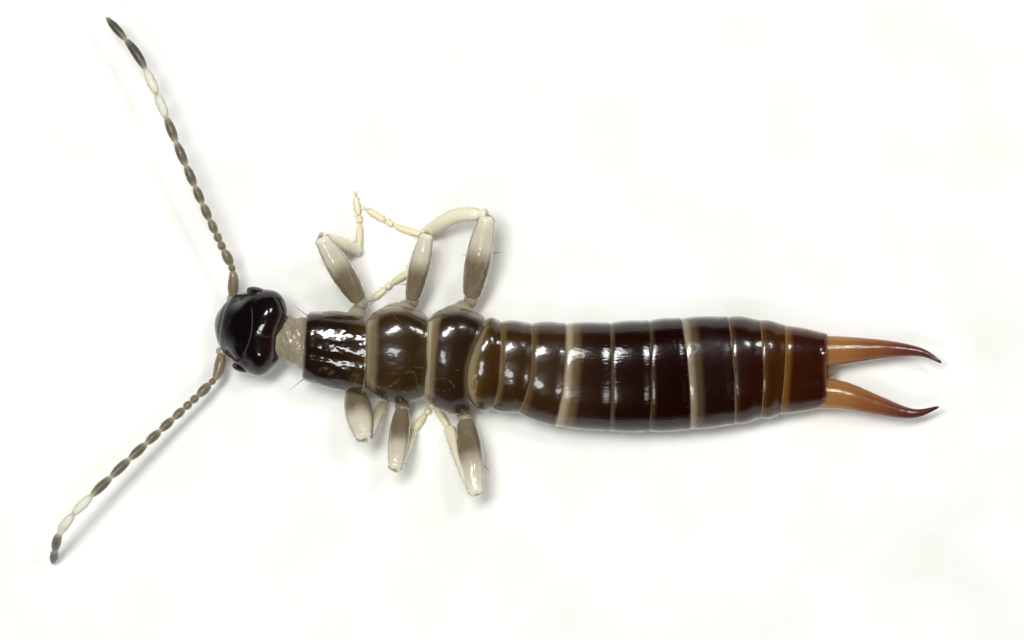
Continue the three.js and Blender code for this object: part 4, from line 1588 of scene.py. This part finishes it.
@dataclass
class Bristles:
    """Fine tapered hairs, each a slim bent cone with its root in the surface."""

    seed: int = 7
    sides: int = 5
    rings: int = 6

    def build(self) -> None:
        """Sets the long bristles one by one and the short ones by rule."""
        self.random = random.Random(self.seed)
        self._long()
        self._on_legs()
        self._on_rings()
        self._on_feelers()

    def _hair(self, root: Vector, tip: Vector, thickness: float, rise: float = 0.0) -> bpy.types.Object:
        """One hair from root to tip, with its middle lifted by the rise."""
        middle = root.lerp(tip, 0.5) + UP * rise
        route = Route([root, middle, tip])
        return WORKSHOP.limb("hair", route, lambda s: thickness / 2 * (1 - 0.9 * s), self.sides, self.rings)

    def _group(self, name: str, hairs: Sequence[bpy.types.Object]) -> None:
        """Joins hairs into one dressed piece."""
        dress(WORKSHOP.join(name, hairs), BRISTLE_FINISH, "eye")

    def _long(self) -> None:
        """The few long bristles that stand out against the floor."""
        rows = (
            ((-2.5, -0.36, 0.98), (-2.69, -0.22, 1.02)), ((-2.55, -1.2, 0.62), (-2.79, -1.39, 0.66)),
            ((-1.2, -0.5, 1.05), (-1.42, -0.26, 1.06)), ((-0.02, 0.48, 0.72), (0.15, 0.5, 0.78)),
            ((-0.33, 0.46, 0.72), (-0.43, 0.45, 0.78)), ((-0.14, -2.36, 0.6), (-0.05, -2.49, 0.64)),
            ((-1.35, -2.13, 0.66), (-1.45, -2.3, 0.7)), ((-0.97, 0.24, 0.72), (-0.88, 0.27, 0.78)),
            ((-1.2, 0.06, 0.66), (-1.27, 0.07, 0.7)),
        )
        self._group("long_bristles", [self._hair(Vector(a), Vector(b), 0.013, 0.02) for a, b in rows])

    def _on_legs(self) -> None:
        """Short hairs down the shins and feet."""
        hairs = []
        for leg in LEGS:
            knee, ankle, foot, toe = (Vector(point) for point in (leg.knee, leg.ankle, leg.foot, leg.toe))
            hairs += self._fringe(knee, ankle, leg.shin / 2, 9, leg.bow(knee, ankle))
            hairs += self._fringe(foot, toe, 0.04, 7, Vector())
        self._group("leg_hairs", hairs)

    def _fringe(self, start: Vector, end: Vector, half: float, count: int,
                bow: Vector) -> list[bpy.types.Object]:
        """Hairs down the two sides of a joint, in turn.

        Args:
            start: where the joint begins.
            end: where it ends.
            half: its half thickness.
            count: how many hairs it has.
            bow: how far its middle stands out of the straight line.

        Returns:
            The hairs.
        """
        ahead = (end - start).normalized()
        side, _ = sideways(ahead)
        hairs = []
        for index in range(count):
            share = mix(0.18, 0.95, (index + 0.5) / count)
            hand = 1 if index % 2 else -1
            middle = start.lerp(end, share) + bow * math.sin(math.pi * share) * 0.9
            root = middle + side * (hand * half * 0.8)
            lean = ahead * self.random.uniform(0.7, 1.1)
            rise = UP * self.random.uniform(0.1, 0.5)
            out = (side * hand + lean + rise).normalized()
            hairs.append(self._hair(root, root + out * self.random.uniform(0.05, 0.08), 0.006))
        return hairs

    def _on_rings(self) -> None:
        """Sparse hairs along the hind edge of each ring behind the first."""
        hairs = []
        for ring in (*THORAX[1:], *ABDOMEN):
            for index in range(7):
                angle = math.radians(mix(8, 172, (index + self.random.uniform(0.2, 0.8)) / 7))
                root = ring.point(0.93, angle, 0.002)
                out = ring.point(0.93, angle, 0.05) - ring.point(0.93, angle, 0.0)
                back = Vector((1, 0, 0)) + out.normalized() * 0.55
                tip = root + back.normalized() * self.random.uniform(0.06, 0.1)
                hairs.append(self._hair(root, tip, 0.006))
        self._group("ring_hairs", hairs)

    def _on_feelers(self) -> None:
        """Fine down standing off each feeler joint."""
        hairs = []
        whole = sum(length for length, _ in FEELER_SEGMENTS)
        for points in FEELER_ROUTES.values():
            route = Route(points)
            passed = 0.0
            for length, thick in FEELER_SEGMENTS:
                for index in range(4):
                    share = (passed + length * (0.35 + 0.4 * index / 3)) / whole
                    ahead = route.heading(share)
                    side, up = sideways(ahead)
                    angle = index * math.pi / 2 + self.random.uniform(-0.6, 0.6)
                    out = side * math.cos(angle) + up * math.sin(angle)
                    root = route.at(share) + out * (thick * 0.42)
                    tip = root + (out + ahead * 0.9).normalized() * self.random.uniform(0.035, 0.055)
                    hairs.append(self._hair(root, above_floor(tip, 0.004), 0.005))
                passed += length
        self._group("feeler_hairs", hairs)


# Studio

@dataclass(frozen=True)
class Lamp:
    """A soft rectangular lamp: its place and size in millimetres and its power in watts."""

    name: str
    place: tuple[float, float, float]
    size: tuple[float, float]
    watts: float
    mirrored: bool = True

    def build(self) -> None:
        """Hangs the lamp, turned to the middle of the animal."""
        data = bpy.data.lights.new(self.name, "AREA")
        data.shape = "RECTANGLE"
        data.size, data.size_y = self.size[0] * MM, self.size[1] * MM
        data.energy = self.watts
        lamp = bpy.data.objects.new(self.name, data)
        bpy.context.scene.collection.objects.link(lamp)
        lamp.location = Vector(self.place) * MM
        lamp.rotation_euler = (Vector((0, -1, 0)) * MM - lamp.location).to_track_quat("-Z", "Y").to_euler()
        lamp.visible_glossy = self.mirrored


LAMPS = (
    Lamp("long_lamp", (-10.0, 10.0, 58.0), (22.0, 9.0), 0.023),
    Lamp("near_lamp", (-10.0, -26.0, 54.0), (12.0, 7.0), 0.004),
    Lamp("tail_lamp", (20.0, 20.0, 52.0), (9.0, 8.0), 0.0055),
    Lamp("fill_lamp", (-10.0, 4.0, 90.0), (110.0, 110.0), 0.03, mirrored=False),
)


@dataclass
class Studio:
    """Pale floor, soft light, and a camera that looks straight down."""

    pixels_per_mm: float = 74.0
    frame_pixels: tuple[int, int] = (1024, 640)
    origin_pixel: tuple[float, float] = (493.5, 289.0)
    lens: float = 150.0
    sensor: float = 36.0
    focus_height: float = 0.7
    floor_size: float = 240.0
    sky_strength: float = 1.5
    horizon_light: float = 0.6
    overhead_light: float = 0.004

    def build(self) -> None:
        """Makes the floor, the lamps, the sky and the camera."""
        self._floor()
        for lamp in LAMPS:
            lamp.build()
        self._sky()
        self._camera()

    def _floor(self) -> None:
        """A matt floor of off-white, with very soft clouds."""
        deselect_all()
        bpy.ops.mesh.primitive_grid_add(x_subdivisions=4, y_subdivisions=4, size=self.floor_size * MM,
                                        location=(0, 0, 0))
        floor = bpy.context.object
        floor.name = "floor"
        material = bpy.data.materials.new("floor_paper")
        material.use_nodes = True
        tree = material.node_tree
        place = node(tree, "ShaderNodeTexCoord").outputs["Object"]
        clouds = node(tree, "ShaderNodeTexNoise", {"Vector": place, "Scale": 0.7 / MM, "Detail": 5.0})
        colour = ramp(tree, clouds.outputs["Fac"], tones((0.3, 237, 237, 230), (0.6, 248, 248, 243)))
        wire(tree, tree.nodes["Principled BSDF"], {"Base Color": colour, "Roughness": 0.9})
        floor.data.materials.append(material)

    def _sky(self) -> None:
        """A sky that is bright near the horizon and dark overhead, a little brighter past the tail."""
        world = bpy.data.worlds.new("studio_sky")
        bpy.context.scene.world = world
        world.use_nodes = True
        tree = world.node_tree
        direction = node(tree, "ShaderNodeTexCoord").outputs["Generated"]
        split = node(tree, "ShaderNodeSeparateXYZ", {0: direction}).outputs
        height = node(tree, "ShaderNodeMath", {0: split["X"], 1: -0.1, 2: split["Z"]},
                      operation="MULTIPLY_ADD")
        stops = ((0.12, (self.horizon_light,) * 3), (0.44, (self.overhead_light,) * 3))
        colour = ramp(tree, height.outputs[0], stops, "EASE")
        wire(tree, tree.nodes["Background"], {"Color": colour, "Strength": self.sky_strength})

    def _camera(self) -> None:
        """A long lens straight above, framed as the photograph is."""
        data = bpy.data.cameras.new("camera")
        data.lens, data.sensor_width = self.lens, self.sensor
        width = self.frame_pixels[0] / self.pixels_per_mm
        distance = width * self.lens / self.sensor
        centre_x = (self.frame_pixels[0] / 2 - self.origin_pixel[0]) / self.pixels_per_mm
        centre_y = (self.origin_pixel[1] - self.frame_pixels[1] / 2) / self.pixels_per_mm
        data.clip_start, data.clip_end = 1 * MM, 1000 * MM
        camera = bpy.data.objects.new("camera", data)
        camera.location = Vector((centre_x, centre_y, distance + self.focus_height)) * MM
        bpy.context.scene.collection.objects.link(camera)
        bpy.context.scene.camera = camera
        bpy.context.scene.view_settings.view_transform = "Standard"


def main() -> None:
    """Builds the animal and its studio."""
    logging.basicConfig(level=logging.INFO, format="%(name)s %(message)s")
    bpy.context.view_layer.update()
    Studio().build()
    Trunk().build()
    Head().build()
    for hand in FEELER_ROUTES:
        Feeler(hand).build()
    for leg in LEGS:
        leg.build()
    Forceps().build()
    Bristles().build()


if __name__ == "__main__":
    main()
